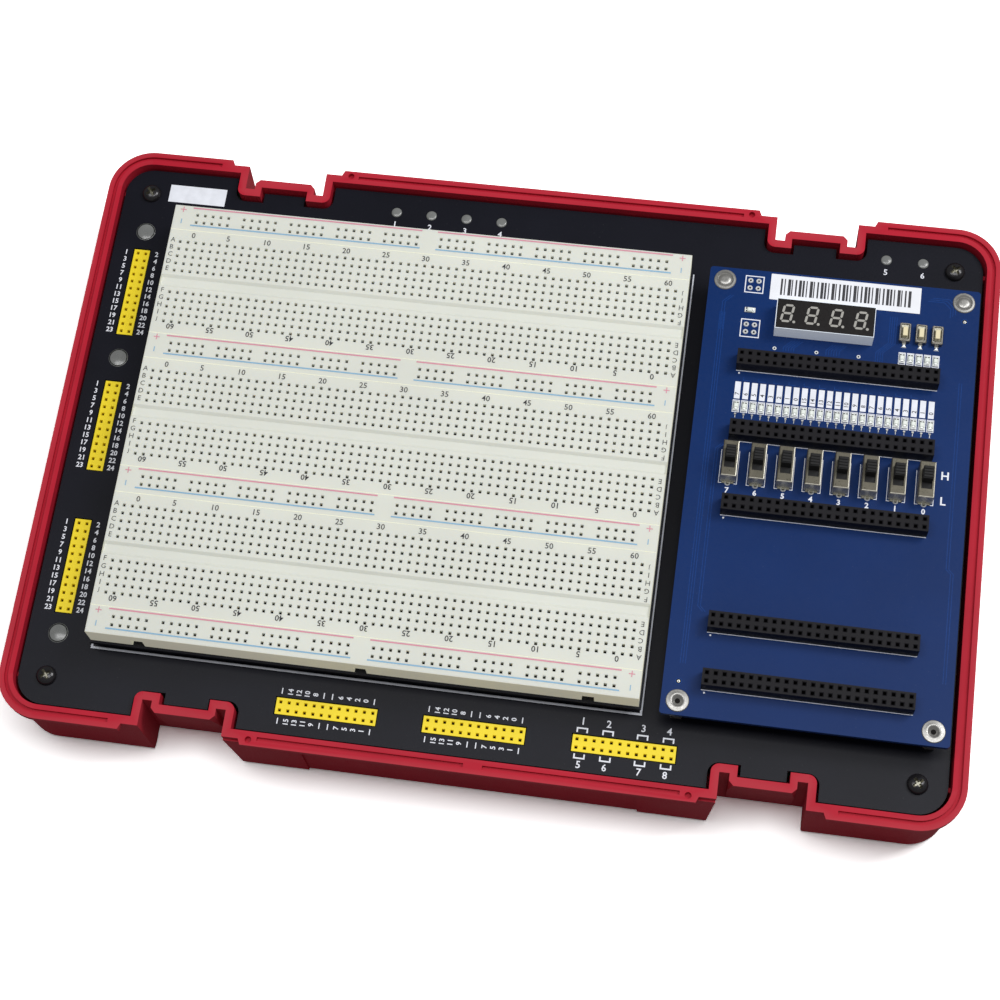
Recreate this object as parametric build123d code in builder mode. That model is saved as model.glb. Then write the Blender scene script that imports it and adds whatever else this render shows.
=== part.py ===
from build123d import *
import os

# Electronics training station: a shallow moulded tray holds a circuit board under a black
# panel, and a solderless breadboard and a switch and lamp board stand on the panel.
# Millimetres. The tray rests on Z = 0, X runs along its length, Y towards its rear edge.

os.makedirs("parts", exist_ok=True)

# Margins between the tray's inner walls and the boards on the panel
left_margin = 22.7
board_gap = 6.05
right_margin = 2.45
front_margin = 20.7
rear_margin = 20.3

# Moulded tray
tray_height = 30.5
tray_corner_radius = 14.0
lip_overhang = 1.8
lip_thickness = 2.5
wall = 2.6
floor = 2.5
wall_draft = 1.0
base_chamfer = 1.2
rim_groove_width = 1.2
rim_groove_depth = 1.0
rim_groove_inset = 1.5
rib_thickness = 1.4
rib_height = 5.0

# Latch and hinge bays, one near each end of both long walls
bay_from_end = 53.6
bay_width = 25.6
bay_depth = 8.1
bay_wall = 2.5
bay_inner_lean = 2.1
bay_outer_lean = 0.6
catch_width = 19.6
catch_depth = 3.6
catch_corner = 1.4
catch_pocket_width = 15.2
catch_pocket_height = 12.0
catch_pocket_wall = 2.7
lip_gap_width = 35.8
lip_end_slope = 1.2
rim_hole_radius = 1.0
rim_hole_depth = 1.5
rim_hole_from_bay = 21.0
rim_groove_inner_stop = 23.5
rim_groove_outer_stop = 22.0
rim_bridge_x = 2.0
rim_bridge_width = 5.6
bay_corner_radius = 2.5
wall_pad_from_centre = 50.0
wall_pad_proud = 0.5

# Black panel
panel_thickness = 2.0
panel_recess = 2.5
panel_gap = 0.9
slot_gap = 0.3
lamp_radius = 1.75
window_radius = 3.15
window_dish_depth = 1.0
lens_rim = 0.5
lens_gap = 0.05
lens_flange = 1.0
lens_flange_thickness = 0.5
lamp_from_rear = 7.6
supply_lamp_count = 4
supply_lamp_pitch = 11.45
supply_lamp_first_x = -48.7
window_from_left = 10.3
window_from_header = 6.6

# Screws
screw_radius = 1.5
screw_gap = 0.05
screw_length = 8.0
screw_tip_gap = 1.0
screw_head_radius = 3.1
screw_head_height = 2.2
screw_head_rim = 0.6
screw_head_flat = 1.9
recess_width = 0.8
recess_length = 3.4
recess_depth = 1.4
panel_screw_inset = 9.65
boss_radius = 4.2
post_radius = 3.6

# Sockets on a 2.54 mm grid
pitch = 2.54
socket_height = 8.5
socket_hole = 0.9
socket_hole_depth = 6.0
header_below_panel = 0.2
panel_header_count = 12
side_header_inset = 9.2
side_header_margin = 30.05
front_header_inset = 10.7
front_header_spacing = 44.5
front_header_shift = 0.55
board_header_count = 24
board_header_height = 5.0
board_header_hole_depth = 3.5
board_header_from_left = 12.4
board_header_from_rear = (30.6, 53.95, 78.15)
board_header_from_front = (29.95, 12.4)

# Circuit boards
board_thickness = 1.6
carrier_spacer_height = 5.0
io_spacer_height = 9.0
main_board_end_gap = 4.7
main_board_side_gap = 1.0
main_board_bay_gap = 1.5
main_board_boss_gap = 4.5
main_post_from_end = 27.7
main_post_from_rear = 22.3
main_post_from_front = 30.3

# Breadboard: three terminal strips between four distribution strips
breadboard_length = 165.1
breadboard_thickness = 8.5
terminal_strip_width = 36.4
bus_strip_width = 8.6
centre_channel_width = 3.2
centre_channel_depth = 2.4
channel_notch = 2.0
edge_notch_width = 3.7
edge_notch_height = 4.4
edge_notch_depth = 1.6
edge_notch_spacing = 67.6
strip_edge_chamfer = 0.2
carrier_margin = 0.75
carrier_post_inset = 8.0
spacer_across_flats = 5.5

# Switch and lamp board
io_board_length = 83.1
io_board_width = 145.0
io_board_shift = -1.4
post_from_end = 4.9
post_from_edge = 4.3
post_collar_radius = 3.0
post_flange_radius = 3.4
post_flange_thickness = 0.5
post_neck_radius = 2.1
post_neck_gap = 0.05
post_bore_radius = 1.2
post_bore_mouth = 2.0

# Four digit display
display_from_left = 36.45
display_from_rear = 16.75
display_length = 30.0
display_width = 10.1
display_height = 6.1
display_face_depth = 0.4
display_frame = 0.15

# Slide switches
switch_count = 8
switch_from_left = 12.35
switch_pitch = 8.32
switch_from_rear = 65.7
shell_width = 4.7
shell_length = 11.5
shell_height = 5.5
shell_sheet = 0.4
slider_travel = 2.0
knob_width = 3.0
knob_length = 4.0
knob_rise = 3.6
knob_gap = 0.1
slider_block_gap = 0.15
switch_base_height = 1.2
knob_chamfer = 0.3

# Push buttons
button_count = 3
button_pitch = 4.89
button_from_left = 61.05
button_from_rear = 16.8
button_width = 3.4
button_length = 6.2
button_height = 1.8
plunger_width = 1.4
plunger_length = 3.0
plunger_rise = 0.7
plunger_travel = 0.25
plunger_gap = 0.1
plunger_depth = 0.9
terminal_reach = 0.6
terminal_width = 1.2
terminal_thickness = 0.3

# Small parts on the switch and lamp board
led_width = 1.6
led_length = 3.2
led_height = 1.1
level_lamp_from_rear = 46.5
row_lamp_count = 5
row_lamp_from_left = 60.8
row_lamp_from_rear = 25.05
power_lamp_from_left = 13.5
power_lamp_from_rear = 13.95
panel_lamp_offset = 1.4
label_from_left = 42.05
label_from_rear = 5.1
label_length = 46.1
label_width = 8.8
label_thickness = 0.15

# Parts on the main board
usb_from_end = 31.1
usb_width = 7.7
usb_height = 3.9
usb_length = 9.2
usb_cavity_width = 6.5
usb_cavity_height = 2.7
usb_cavity_depth = 6.0
jack_from_end = 19.6
jack_width = 6.4
jack_height = 6.0
jack_length = 10.0
jack_bore_radius = 1.9
jack_pin_radius = 0.65
jack_bore_depth = 8.0
inlet_recess = 0.6
inlet_gap = 0.3
processor_size = 14.0
processor_height = 1.4
processor_place = (20.0, 5.0)
converter_length = 22.0
converter_width = 12.0
converter_height = 5.5
converter_places = ((60.0, 55.0), (60.0, 35.0))
buzzer_radius = 4.6
buzzer_height = 5.2
buzzer_from_left = 39.7
buzzer_y = 20.0
fuse_radius = 2.6
fuse_length = 20.0
fuse_cap = 5.0
fuse_xs = (30.0, 60.0)
fuse_from_front = 26.3
fuse_clip_height = 3.2
link_count = 12
link_from_rear = 18.4
link_from_post = 8.9

# Heights that follow from the sizes above
panel_top = tray_height - panel_recess
panel_bottom = panel_top - panel_thickness
main_top = panel_top - header_below_panel - socket_height
main_bottom = main_top - board_thickness
upper_bottom = panel_top + carrier_spacer_height
upper_top = upper_bottom + board_thickness
io_bottom = panel_top + io_spacer_height
io_top = io_bottom + board_thickness

# Plan sizes of the tray, which holds the boards with the margins above
breadboard_width = 3 * terminal_strip_width + 4 * bus_strip_width
inner_length = left_margin + breadboard_length + board_gap + io_board_length + right_margin
inner_width = front_margin + breadboard_width + rear_margin
wall_length = inner_length + 2 * wall
wall_width = inner_width + 2 * wall
wall_radius = tray_corner_radius - lip_overhang
inner_radius = wall_radius - wall
tray_length = wall_length + 2 * lip_overhang
tray_width = wall_width + 2 * lip_overhang
bay_back_y = wall_width / 2 - bay_depth
bay_inner_y = bay_back_y - bay_wall
bay_block_width = bay_width + 2 * bay_wall
catch_face_y = bay_back_y + catch_depth
pocket_face_y = catch_face_y - catch_pocket_wall
bay_centre_x = inner_length / 2 - bay_from_end
bay_centres = [(sx * bay_centre_x, sy * inner_width / 2) for sx in (-1, 1) for sy in (-1, 1)]
bay_block_depth = 2 * (inner_width / 2 - bay_inner_y)
panel_screw_x = inner_length / 2 - panel_screw_inset
panel_screw_y = inner_width / 2 - panel_screw_inset
corner_screws = [(sx * panel_screw_x, sy * panel_screw_y) for sx in (-1, 1) for sy in (-1, 1)]
main_post_x = inner_length / 2 - main_post_from_end
main_post_ys = (inner_width / 2 - main_post_from_rear, main_post_from_front - inner_width / 2)
main_posts = [(x, y) for y in main_post_ys for x in (-main_post_x, 0, main_post_x)]

# Places on the panel
breadboard_x = left_margin + breadboard_length / 2 - inner_length / 2
breadboard_y = front_margin + breadboard_width / 2 - inner_width / 2
terminal_pitch = terminal_strip_width + bus_strip_width
header_span = (panel_header_count - 1) * pitch
side_header_x = side_header_inset - inner_length / 2
side_header_top = inner_width / 2 - side_header_margin - pitch / 2
side_header_spacing = side_header_top - header_span / 2
side_header_tops = [side_header_top - side_header_spacing * n for n in range(3)]
front_header_y = front_header_inset - inner_width / 2
front_header_left = front_header_shift - header_span / 2
front_header_lefts = [front_header_left + front_header_spacing * n for n in (-1, 0, 1)]
usb_x = inner_length / 2 - usb_from_end
jack_x = inner_length / 2 - jack_from_end
lamp_row_y = inner_width / 2 - lamp_from_rear
lamp_xs = [supply_lamp_first_x + supply_lamp_pitch * n for n in range(supply_lamp_count)] + [usb_x, jack_x]
window_x = window_from_left - inner_length / 2
header_end = header_span + pitch / 2
window_ys = (
    side_header_tops[0] + pitch / 2 + window_from_header,
    (side_header_tops[0] - header_end + side_header_tops[1] + pitch / 2) / 2,
    side_header_tops[2] - header_end - window_from_header,
)

# Places on the switch and lamp board
io_board_x = inner_length / 2 - right_margin - io_board_length / 2
io_board_y = breadboard_y + io_board_shift
io_left = io_board_x - io_board_length / 2
io_rear = io_board_y + io_board_width / 2
io_front = io_board_y - io_board_width / 2
post_spacing_x = io_board_length - 2 * post_from_end
post_spacing_y = io_board_width - 2 * post_from_edge
io_posts = [
    (io_board_x + sx * post_spacing_x / 2, io_board_y + sy * post_spacing_y / 2)
    for sx in (-1, 1)
    for sy in (-1, 1)
]
board_header_x = io_left + board_header_from_left
board_header_ys = [io_rear - y for y in board_header_from_rear] + [
    io_front + y for y in board_header_from_front
]
display_x = io_left + display_from_left
display_y = io_rear - display_from_rear
switch_y = io_rear - switch_from_rear
switch_places = [(io_left + switch_from_left + switch_pitch * n, switch_y) for n in range(switch_count)]
button_y = io_rear - button_from_rear
button_places = [(io_left + button_from_left + button_pitch * n, button_y) for n in range(button_count)]
level_lamp_y = io_rear - level_lamp_from_rear
level_lamp_places = [(board_header_x + pitch * n, level_lamp_y) for n in range(board_header_count)]
row_lamp_y = io_rear - row_lamp_from_rear
row_lamp_places = [(io_left + row_lamp_from_left + pitch * n, row_lamp_y) for n in range(row_lamp_count)]
link_places = [(io_board_x, io_rear - link_from_rear), (io_board_x, main_post_ys[1] + link_from_post)]
buzzer_place = (buzzer_from_left - inner_length / 2, buzzer_y)
fuse_places = [(x, fuse_from_front - inner_width / 2) for x in fuse_xs]


def finish(piece, name):
    """Label a finished sub-part and write it to its own file."""
    piece.part.label = name
    export_step(piece.part, "parts/" + name + ".step")


def wall_plane(side, distance):
    """Vertical plane parallel to a long wall, facing outwards, with its y axis up."""
    return Plane(origin=(0, side * distance, 0), x_dir=(-side, 0, 0), z_dir=(0, side, 0))


def catch_block(side_x, side_y):
    """Tapered block in the middle of a bay, over which the cover's latch closes."""
    half = catch_width / 2
    root = bay_back_y - bay_wall / 2
    x = side_x * bay_centre_x
    with BuildPart() as block:
        with BuildSketch():
            with BuildLine():
                Polyline(
                    (x - half, side_y * root),
                    (x - half, side_y * (catch_face_y - catch_corner)),
                    (x - half + catch_corner, side_y * catch_face_y),
                    (x + half - catch_corner, side_y * catch_face_y),
                    (x + half, side_y * (catch_face_y - catch_corner)),
                    (x + half, side_y * root),
                    close=True,
                )
            make_face()
        extrude(amount=tray_height)
        with BuildSketch(Plane.YZ.offset(x)):
            with BuildLine():
                Polyline(
                    (side_y * root, 0),
                    (side_y * bay_back_y, 0),
                    (side_y * catch_face_y, tray_height),
                    (side_y * root, tray_height),
                    close=True,
                )
            make_face()
        extrude(amount=half, both=True, mode=Mode.INTERSECT)
    return block.part


catch_blocks = [catch_block(sx, sy) for sx in (-1, 1) for sy in (-1, 1)]

# Case tray
with BuildPart() as case_tray:
    # Drafted outside, with a chamfer where the walls meet the base
    with BuildSketch(Plane.XY.offset(tray_height)):
        RectangleRounded(wall_length, wall_width, wall_radius)
    extrude(amount=-(tray_height - base_chamfer), taper=wall_draft)
    lowest_ring = case_tray.faces().sort_by(Axis.Z)[0]
    extrude(lowest_ring, amount=base_chamfer, taper=45)
    # Inside, with the blocks behind the bays left standing
    with BuildSketch(Plane.XY.offset(floor)):
        RectangleRounded(inner_length, inner_width, inner_radius)
        with Locations(*bay_centres):
            RectangleRounded(bay_block_width, bay_block_depth, bay_corner_radius, mode=Mode.SUBTRACT)
    extrude(amount=tray_height, mode=Mode.SUBTRACT)
    # Slightly proud pads on the long walls, from the middle part of each wall to its bays
    pad_length = bay_centre_x - bay_width / 2 - wall_pad_from_centre
    pad_y = wall_width / 2 + wall_pad_proud - wall / 2
    with BuildSketch(Plane.XY.offset(tray_height - lip_thickness)):
        with GridLocations(2 * wall_pad_from_centre + pad_length, 2 * pad_y, 2, 2):
            Rectangle(pad_length, wall)
    extrude(amount=-(tray_height - lip_thickness - base_chamfer), taper=wall_draft)
    # Outward lip, which stops short of each bay with sloped ends
    with BuildSketch(Plane.XY.offset(tray_height - lip_thickness)):
        RectangleRounded(tray_length, tray_width, tray_corner_radius)
        RectangleRounded(wall_length - wall, wall_width - wall, wall_radius - wall / 2, mode=Mode.SUBTRACT)
        for x, y in bay_centres:
            side = 1 if y > 0 else -1
            with BuildLine():
                Polyline(
                    (x - lip_gap_width / 2, side * inner_width / 2),
                    (x - lip_gap_width / 2, side * wall_width / 2),
                    (x - lip_gap_width / 2 - lip_end_slope, side * (tray_width / 2 + 1)),
                    (x + lip_gap_width / 2 + lip_end_slope, side * (tray_width / 2 + 1)),
                    (x + lip_gap_width / 2, side * wall_width / 2),
                    (x + lip_gap_width / 2, side * inner_width / 2),
                    close=True,
                )
            make_face(mode=Mode.SUBTRACT)
    extrude(amount=lip_thickness)
    # Bays cut in from outside, wider towards the base
    for sx in (-1, 1):
        for sy in (-1, 1):
            inner_x = bay_centre_x - bay_width / 2
            outer_x = bay_centre_x + bay_width / 2
            corners = [
                (inner_x, tray_height),
                (outer_x, tray_height),
                (outer_x + bay_outer_lean, 0),
                (inner_x - bay_inner_lean, 0),
            ]
            with BuildSketch(wall_plane(sy, bay_back_y)):
                with BuildLine():
                    Polyline(*[(-sy * sx * x, z) for x, z in corners], close=True)
                make_face()
            extrude(amount=tray_width, mode=Mode.SUBTRACT)
    add(catch_blocks)
    # Hollow behind each catch block
    with BuildSketch(Plane.XY.offset(tray_height)):
        with Locations(*bay_centres):
            Rectangle(catch_pocket_width, 2 * (inner_width / 2 - bay_inner_y))
        Rectangle(tray_length, 2 * bay_inner_y, mode=Mode.SUBTRACT)
        for sy in (-1, 1):
            with Locations((0, sy * (pocket_face_y + tray_width / 2))):
                Rectangle(tray_length, tray_width, mode=Mode.SUBTRACT)
    extrude(amount=-catch_pocket_height, mode=Mode.SUBTRACT)
    # Seal groove round the rim, broken at the bays
    with BuildSketch(Plane.XY.offset(tray_height)):
        grow = rim_groove_inset + rim_groove_width
        RectangleRounded(inner_length + 2 * grow, inner_width + 2 * grow, inner_radius + grow)
        RectangleRounded(
            inner_length + 2 * rim_groove_inset,
            inner_width + 2 * rim_groove_inset,
            inner_radius + rim_groove_inset,
            mode=Mode.SUBTRACT,
        )
        for x, y in bay_centres:
            outward = 1 if x > 0 else -1
            middle = x + outward * (rim_groove_outer_stop - rim_groove_inner_stop) / 2
            with Locations((middle, y)):
                Rectangle(rim_groove_inner_stop + rim_groove_outer_stop, bay_block_depth, mode=Mode.SUBTRACT)
        with Locations((rim_bridge_x, rim_groove_inset + rim_groove_width / 2 - inner_width / 2 - grow)):
            Rectangle(rim_bridge_width, 2 * grow, mode=Mode.SUBTRACT)
    extrude(amount=-rim_groove_depth, mode=Mode.SUBTRACT)
    # A locating hole in the rim at the inner end of each bay
    rim_hole_y = wall_width / 2
    with Locations(
        *[
            (sx * (bay_centre_x - rim_hole_from_bay), sy * rim_hole_y, tray_height)
            for sx in (-1, 1)
            for sy in (-1, 1)
        ]
    ):
        Hole(radius=rim_hole_radius, depth=rim_hole_depth)
    # Floor ribs
    with BuildSketch(Plane.XY.offset(floor - rib_thickness / 2)):
        with GridLocations(0, inner_width / 2, 1, 2):
            Rectangle(inner_length + wall, rib_thickness)
        with GridLocations(inner_length / 4, 0, 3, 1):
            Rectangle(rib_thickness, inner_width + wall)
    extrude(amount=rib_height)
    # Panel bosses in the corners with a web to each wall, and posts under the main board
    with BuildSketch(Plane.XY.offset(floor - rib_thickness / 2)):
        with Locations(*corner_screws):
            Rectangle(2 * boss_radius, 2 * boss_radius)
        for x, y in corner_screws:
            web = inner_length / 2 - panel_screw_x
            with Locations((x + (web / 2 if x > 0 else -web / 2), y)):
                Rectangle(web + wall, rib_thickness)
    extrude(amount=panel_bottom - floor + rib_thickness / 2)
    with BuildSketch(Plane.XY.offset(floor - rib_thickness / 2)):
        with Locations(*main_posts):
            Rectangle(2 * post_radius, 2 * post_radius)
    extrude(amount=main_bottom - floor + rib_thickness / 2)
    with Locations(*[(x, y, panel_bottom) for x, y in corner_screws]):
        Hole(radius=screw_radius + screw_gap, depth=screw_length)
    with Locations(*[(x, y, main_bottom) for x, y in main_posts]):
        Hole(radius=screw_radius + screw_gap, depth=screw_length)
    # Windows in the rear wall for the power and data inlets
    with BuildSketch(wall_plane(1, inner_width / 2 - wall)):
        with Locations((-usb_x, main_top + usb_height / 2)):
            Rectangle(usb_width + 2 * inlet_gap, usb_height + 2 * inlet_gap)
        with Locations((-jack_x, main_top + jack_height / 2)):
            Rectangle(jack_width + 2 * inlet_gap, jack_height + 2 * inlet_gap)
    extrude(amount=3 * wall, mode=Mode.SUBTRACT)

# Black panel
with BuildPart() as front_panel:
    with BuildSketch(Plane.XY.offset(panel_bottom)):
        RectangleRounded(
            inner_length - 2 * panel_gap,
            inner_width - 2 * panel_gap,
            inner_radius - panel_gap,
        )
        with Locations(*bay_centres):
            RectangleRounded(
                bay_block_width + 2 * panel_gap,
                bay_block_depth + 2 * panel_gap,
                bay_corner_radius + panel_gap,
                mode=Mode.SUBTRACT,
            )
        for x, y in bay_centres:
            side = 1 if y > 0 else -1
            tongue = pocket_face_y - bay_inner_y + panel_gap
            with Locations((x, side * (pocket_face_y - panel_gap - tongue / 2))):
                Rectangle(catch_pocket_width - 2 * panel_gap, tongue)
    extrude(amount=panel_thickness)
    with BuildSketch(Plane.XY.offset(panel_bottom)):
        with Locations(*corner_screws):
            Circle(screw_radius + screw_gap)
        with Locations(*[(x, lamp_row_y) for x in lamp_xs]):
            Circle(lamp_radius)
        with Locations(*[(window_x, y) for y in window_ys]):
            Circle(window_radius)
        slot_long = panel_header_count * pitch + 2 * slot_gap
        slot_wide = 2 * pitch + 2 * slot_gap
        with Locations(*[(side_header_x + pitch / 2, y - header_span / 2) for y in side_header_tops]):
            Rectangle(slot_wide, slot_long)
        with Locations(*[(x + header_span / 2, front_header_y - pitch / 2) for x in front_header_lefts]):
            Rectangle(slot_long, slot_wide)
        with Locations(*link_places):
            Rectangle(link_count * pitch + 2 * slot_gap, slot_wide)
    extrude(amount=panel_thickness, mode=Mode.SUBTRACT)


# Panel screws with bevelled heads and a crossed recess
with BuildPart() as panel_screws:
    reach = screw_length + panel_thickness - screw_tip_gap
    for x, y in corner_screws:
        with BuildSketch(Plane(origin=(x, y, panel_top), x_dir=(1, 0, 0), z_dir=(0, -1, 0))):
            with BuildLine():
                Polyline(
                    (0, screw_head_height),
                    (0, -reach),
                    (screw_radius, -reach),
                    (screw_radius, 0),
                    (screw_head_radius, 0),
                    (screw_head_radius, screw_head_rim),
                    (screw_head_flat, screw_head_height),
                    close=True,
                )
            make_face()
        revolve(axis=Axis((x, y, 0), (0, 0, 1)))
    with BuildSketch(Plane.XY.offset(panel_top + screw_head_height)):
        with Locations(*corner_screws):
            Rectangle(recess_length, recess_width, rotation=45)
            Rectangle(recess_width, recess_length, rotation=45)
    extrude(amount=-recess_depth, mode=Mode.SUBTRACT)

# Six-sided screws that hold the main board to its posts
with BuildPart() as main_board_screws:
    with BuildSketch(Plane.XY.offset(main_top)):
        with Locations(*main_posts):
            Circle(screw_radius)
    extrude(amount=screw_tip_gap - screw_length)
    with BuildSketch(Plane.XY.offset(main_top)):
        with Locations(*main_posts):
            RegularPolygon(radius=screw_head_radius, side_count=6)
    extrude(amount=screw_head_height)


def clear_lenses(places, radius, dish_depth):
    """Round light pipes on a square flange under the panel, with a dished face where one is asked for."""
    with BuildPart() as lenses:
        with BuildSketch(Plane.XY.offset(panel_bottom - lens_flange_thickness)):
            with Locations(*places):
                Rectangle(2 * (radius + lens_flange), 2 * (radius + lens_flange))
        extrude(amount=lens_flange_thickness)
        with BuildSketch(Plane.XY.offset(panel_bottom)):
            with Locations(*places):
                Circle(radius - lens_gap)
        extrude(amount=panel_thickness)
        if dish_depth > 0:
            with BuildSketch(Plane.XY.offset(panel_top)):
                with Locations(*places):
                    Circle(radius - lens_gap - lens_rim)
            extrude(amount=-dish_depth, mode=Mode.SUBTRACT)
    return lenses


lamp_lenses = clear_lenses([(x, lamp_row_y) for x in lamp_xs], lamp_radius, 0)
round_windows = clear_lenses([(window_x, y) for y in window_ys], window_radius, window_dish_depth)


def socket_header(first_x, first_y, columns, rows, base, height, hole_depth):
    """Female header: a block on the 2.54 mm grid with a blind square hole for each pin."""
    centre = (first_x + (columns - 1) * pitch / 2, first_y - (rows - 1) * pitch / 2)
    with BuildPart() as header:
        with BuildSketch(Plane.XY.offset(base)):
            with Locations(centre):
                Rectangle(columns * pitch, rows * pitch)
        extrude(amount=height)
        with BuildSketch(Plane.XY.offset(base + height)):
            with Locations(centre):
                with GridLocations(pitch, pitch, columns, rows):
                    Rectangle(socket_hole, socket_hole)
        extrude(amount=-hole_depth, mode=Mode.SUBTRACT)
    return header


side_names = ("supply_header", "control_header", "analogue_header")
side_headers = [
    socket_header(side_header_x, top, 2, panel_header_count, main_top, socket_height, socket_hole_depth)
    for top in side_header_tops
]
front_names = ("input_header", "output_header", "meter_header")
front_headers = [
    socket_header(
        left, front_header_y, panel_header_count, 2, main_top, socket_height, socket_hole_depth
    )
    for left in front_header_lefts
]
board_names = ("board_header_1", "board_header_2", "board_header_3", "board_header_4", "board_header_5")
board_headers = [
    socket_header(
        board_header_x, y, board_header_count, 2, io_top, board_header_height, board_header_hole_depth
    )
    for y in board_header_ys
]

# Main board inside the tray
with BuildPart() as main_board:
    with BuildSketch(Plane.XY.offset(main_bottom)):
        Rectangle(inner_length - 2 * main_board_end_gap, inner_width - 2 * main_board_side_gap)
        with Locations(*bay_centres):
            Rectangle(
                bay_block_width + 2 * main_board_bay_gap,
                bay_block_depth + 2 * main_board_bay_gap,
                mode=Mode.SUBTRACT,
            )
        notch = boss_radius + main_board_boss_gap
        with Locations(*corner_screws):
            Rectangle(2 * notch, 2 * notch, mode=Mode.SUBTRACT)
        with Locations(*main_posts):
            Circle(screw_radius + screw_gap, mode=Mode.SUBTRACT)
    extrude(amount=board_thickness)

# Lamp chips on the main board, in front of the inlets where a window is above one
with BuildPart() as panel_lamps:
    with BuildSketch(Plane.XY.offset(main_top)):
        with Locations(*[(x, lamp_row_y - panel_lamp_offset) for x in lamp_xs]):
            Rectangle(led_length, led_width)
        with Locations(*[(window_x, y) for y in window_ys]):
            Rectangle(led_length, led_width)
    extrude(amount=led_height)

# Data inlet with its open mouth at the rear wall
inlet_face_y = wall_width / 2 - inlet_recess
with BuildPart() as usb_socket:
    with BuildSketch(Plane.XY.offset(main_top)):
        with Locations((usb_x, inlet_face_y - usb_length / 2)):
            Rectangle(usb_width, usb_length)
    extrude(amount=usb_height)
    with BuildSketch(wall_plane(1, inlet_face_y)):
        with Locations((-usb_x, main_top + usb_height / 2)):
            RectangleRounded(usb_cavity_width, usb_cavity_height, shell_sheet)
            Rectangle(usb_cavity_width - usb_cavity_height, usb_cavity_height / 4, mode=Mode.SUBTRACT)
    extrude(amount=-usb_cavity_depth, mode=Mode.SUBTRACT)

# Power inlet: a barrel socket with its centre pin
with BuildPart() as power_jack:
    with BuildSketch(Plane.XY.offset(main_top)):
        with Locations((jack_x, inlet_face_y - jack_length / 2)):
            Rectangle(jack_width, jack_length)
    extrude(amount=jack_height)
    with BuildSketch(wall_plane(1, inlet_face_y)):
        with Locations((-jack_x, main_top + jack_height / 2)):
            Circle(jack_bore_radius)
            Circle(jack_pin_radius, mode=Mode.SUBTRACT)
    extrude(amount=-jack_bore_depth, mode=Mode.SUBTRACT)

with BuildPart() as processor:
    with BuildSketch(Plane.XY.offset(main_top)):
        with Locations(processor_place):
            Rectangle(processor_size, processor_size)
    extrude(amount=processor_height)
    chamfer(processor.edges().filter_by(Axis.Z), length=processor_height / 2)

with BuildPart() as supply_converters:
    with BuildSketch(Plane.XY.offset(main_top)):
        with Locations(*converter_places):
            Rectangle(converter_length, converter_width)
    extrude(amount=converter_height)

with BuildPart() as buzzer:
    with BuildSketch(Plane.XY.offset(main_top)):
        with Locations(buzzer_place):
            Circle(buzzer_radius)
    extrude(amount=buzzer_height)
    with Locations((*buzzer_place, main_top + buzzer_height)):
        Hole(radius=buzzer_radius / 5, depth=buzzer_height / 3)

# Glass fuses for the meter inputs, each with end caps, held in clips that stand on the board
with BuildPart() as meter_fuses:
    fuse_axis_z = main_top + fuse_clip_height
    for x, y in fuse_places:
        with BuildSketch(Plane.YZ.offset(x - fuse_length / 2)):
            with Locations((y, fuse_axis_z)):
                Circle(fuse_radius)
        extrude(amount=fuse_length)
        with BuildSketch(Plane.YZ.offset(x - fuse_length / 2)):
            with Locations((y, (main_top + fuse_axis_z) / 2)):
                Rectangle(2 * fuse_radius, fuse_clip_height)
        extrude(amount=fuse_cap)
        with BuildSketch(Plane.YZ.offset(x + fuse_length / 2)):
            with Locations((y, (main_top + fuse_axis_z) / 2)):
                Rectangle(2 * fuse_radius, fuse_clip_height)
        extrude(amount=-fuse_cap)

# Stacked connectors that join the upper board to the main board through the panel
with BuildPart() as link_connectors:
    with BuildSketch(Plane.XY.offset(main_top)):
        with Locations(*link_places):
            Rectangle(link_count * pitch, 2 * pitch)
    extrude(amount=io_bottom - main_top)

# Breadboard carrier and its spacers
carrier_length = breadboard_length + 2 * carrier_margin
carrier_width = breadboard_width + 2 * carrier_margin
with BuildPart() as breadboard_carrier:
    with BuildSketch(Plane.XY.offset(upper_bottom)):
        with Locations((breadboard_x, breadboard_y)):
            RectangleRounded(carrier_length, carrier_width, carrier_margin)
    extrude(amount=board_thickness)

with BuildPart() as carrier_spacers:
    with BuildSketch(Plane.XY.offset(panel_top)):
        with Locations((breadboard_x, breadboard_y)):
            with GridLocations(
                carrier_length - 2 * carrier_post_inset, carrier_width - 2 * carrier_post_inset, 2, 2
            ):
                RegularPolygon(radius=spacer_across_flats / 2, side_count=6, major_radius=False)
    extrude(amount=carrier_spacer_height)


def terminal_strip(offset):
    """Terminal strip with its centre channel and the small notches at the channel's ends."""
    y = breadboard_y + offset
    with BuildPart() as strip:
        with BuildSketch(Plane.XY.offset(upper_top)):
            with Locations((breadboard_x, y)):
                Rectangle(breadboard_length, terminal_strip_width)
        extrude(amount=breadboard_thickness)
        top = upper_top + breadboard_thickness
        with BuildSketch(Plane.YZ.offset(breadboard_x)):
            with BuildLine():
                half = centre_channel_width / 2
                Polyline(
                    (y - half, top),
                    (y - half + shell_sheet, top - centre_channel_depth),
                    (y + half - shell_sheet, top - centre_channel_depth),
                    (y + half, top),
                    close=True,
                )
            make_face()
        extrude(amount=breadboard_length, both=True, mode=Mode.SUBTRACT)
        with BuildSketch(Plane.XY.offset(top)):
            with Locations((breadboard_x, y)):
                with GridLocations(breadboard_length, 0, 2, 1):
                    Rectangle(channel_notch, channel_notch)
        extrude(amount=-breadboard_thickness, mode=Mode.SUBTRACT)
    return strip


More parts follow.
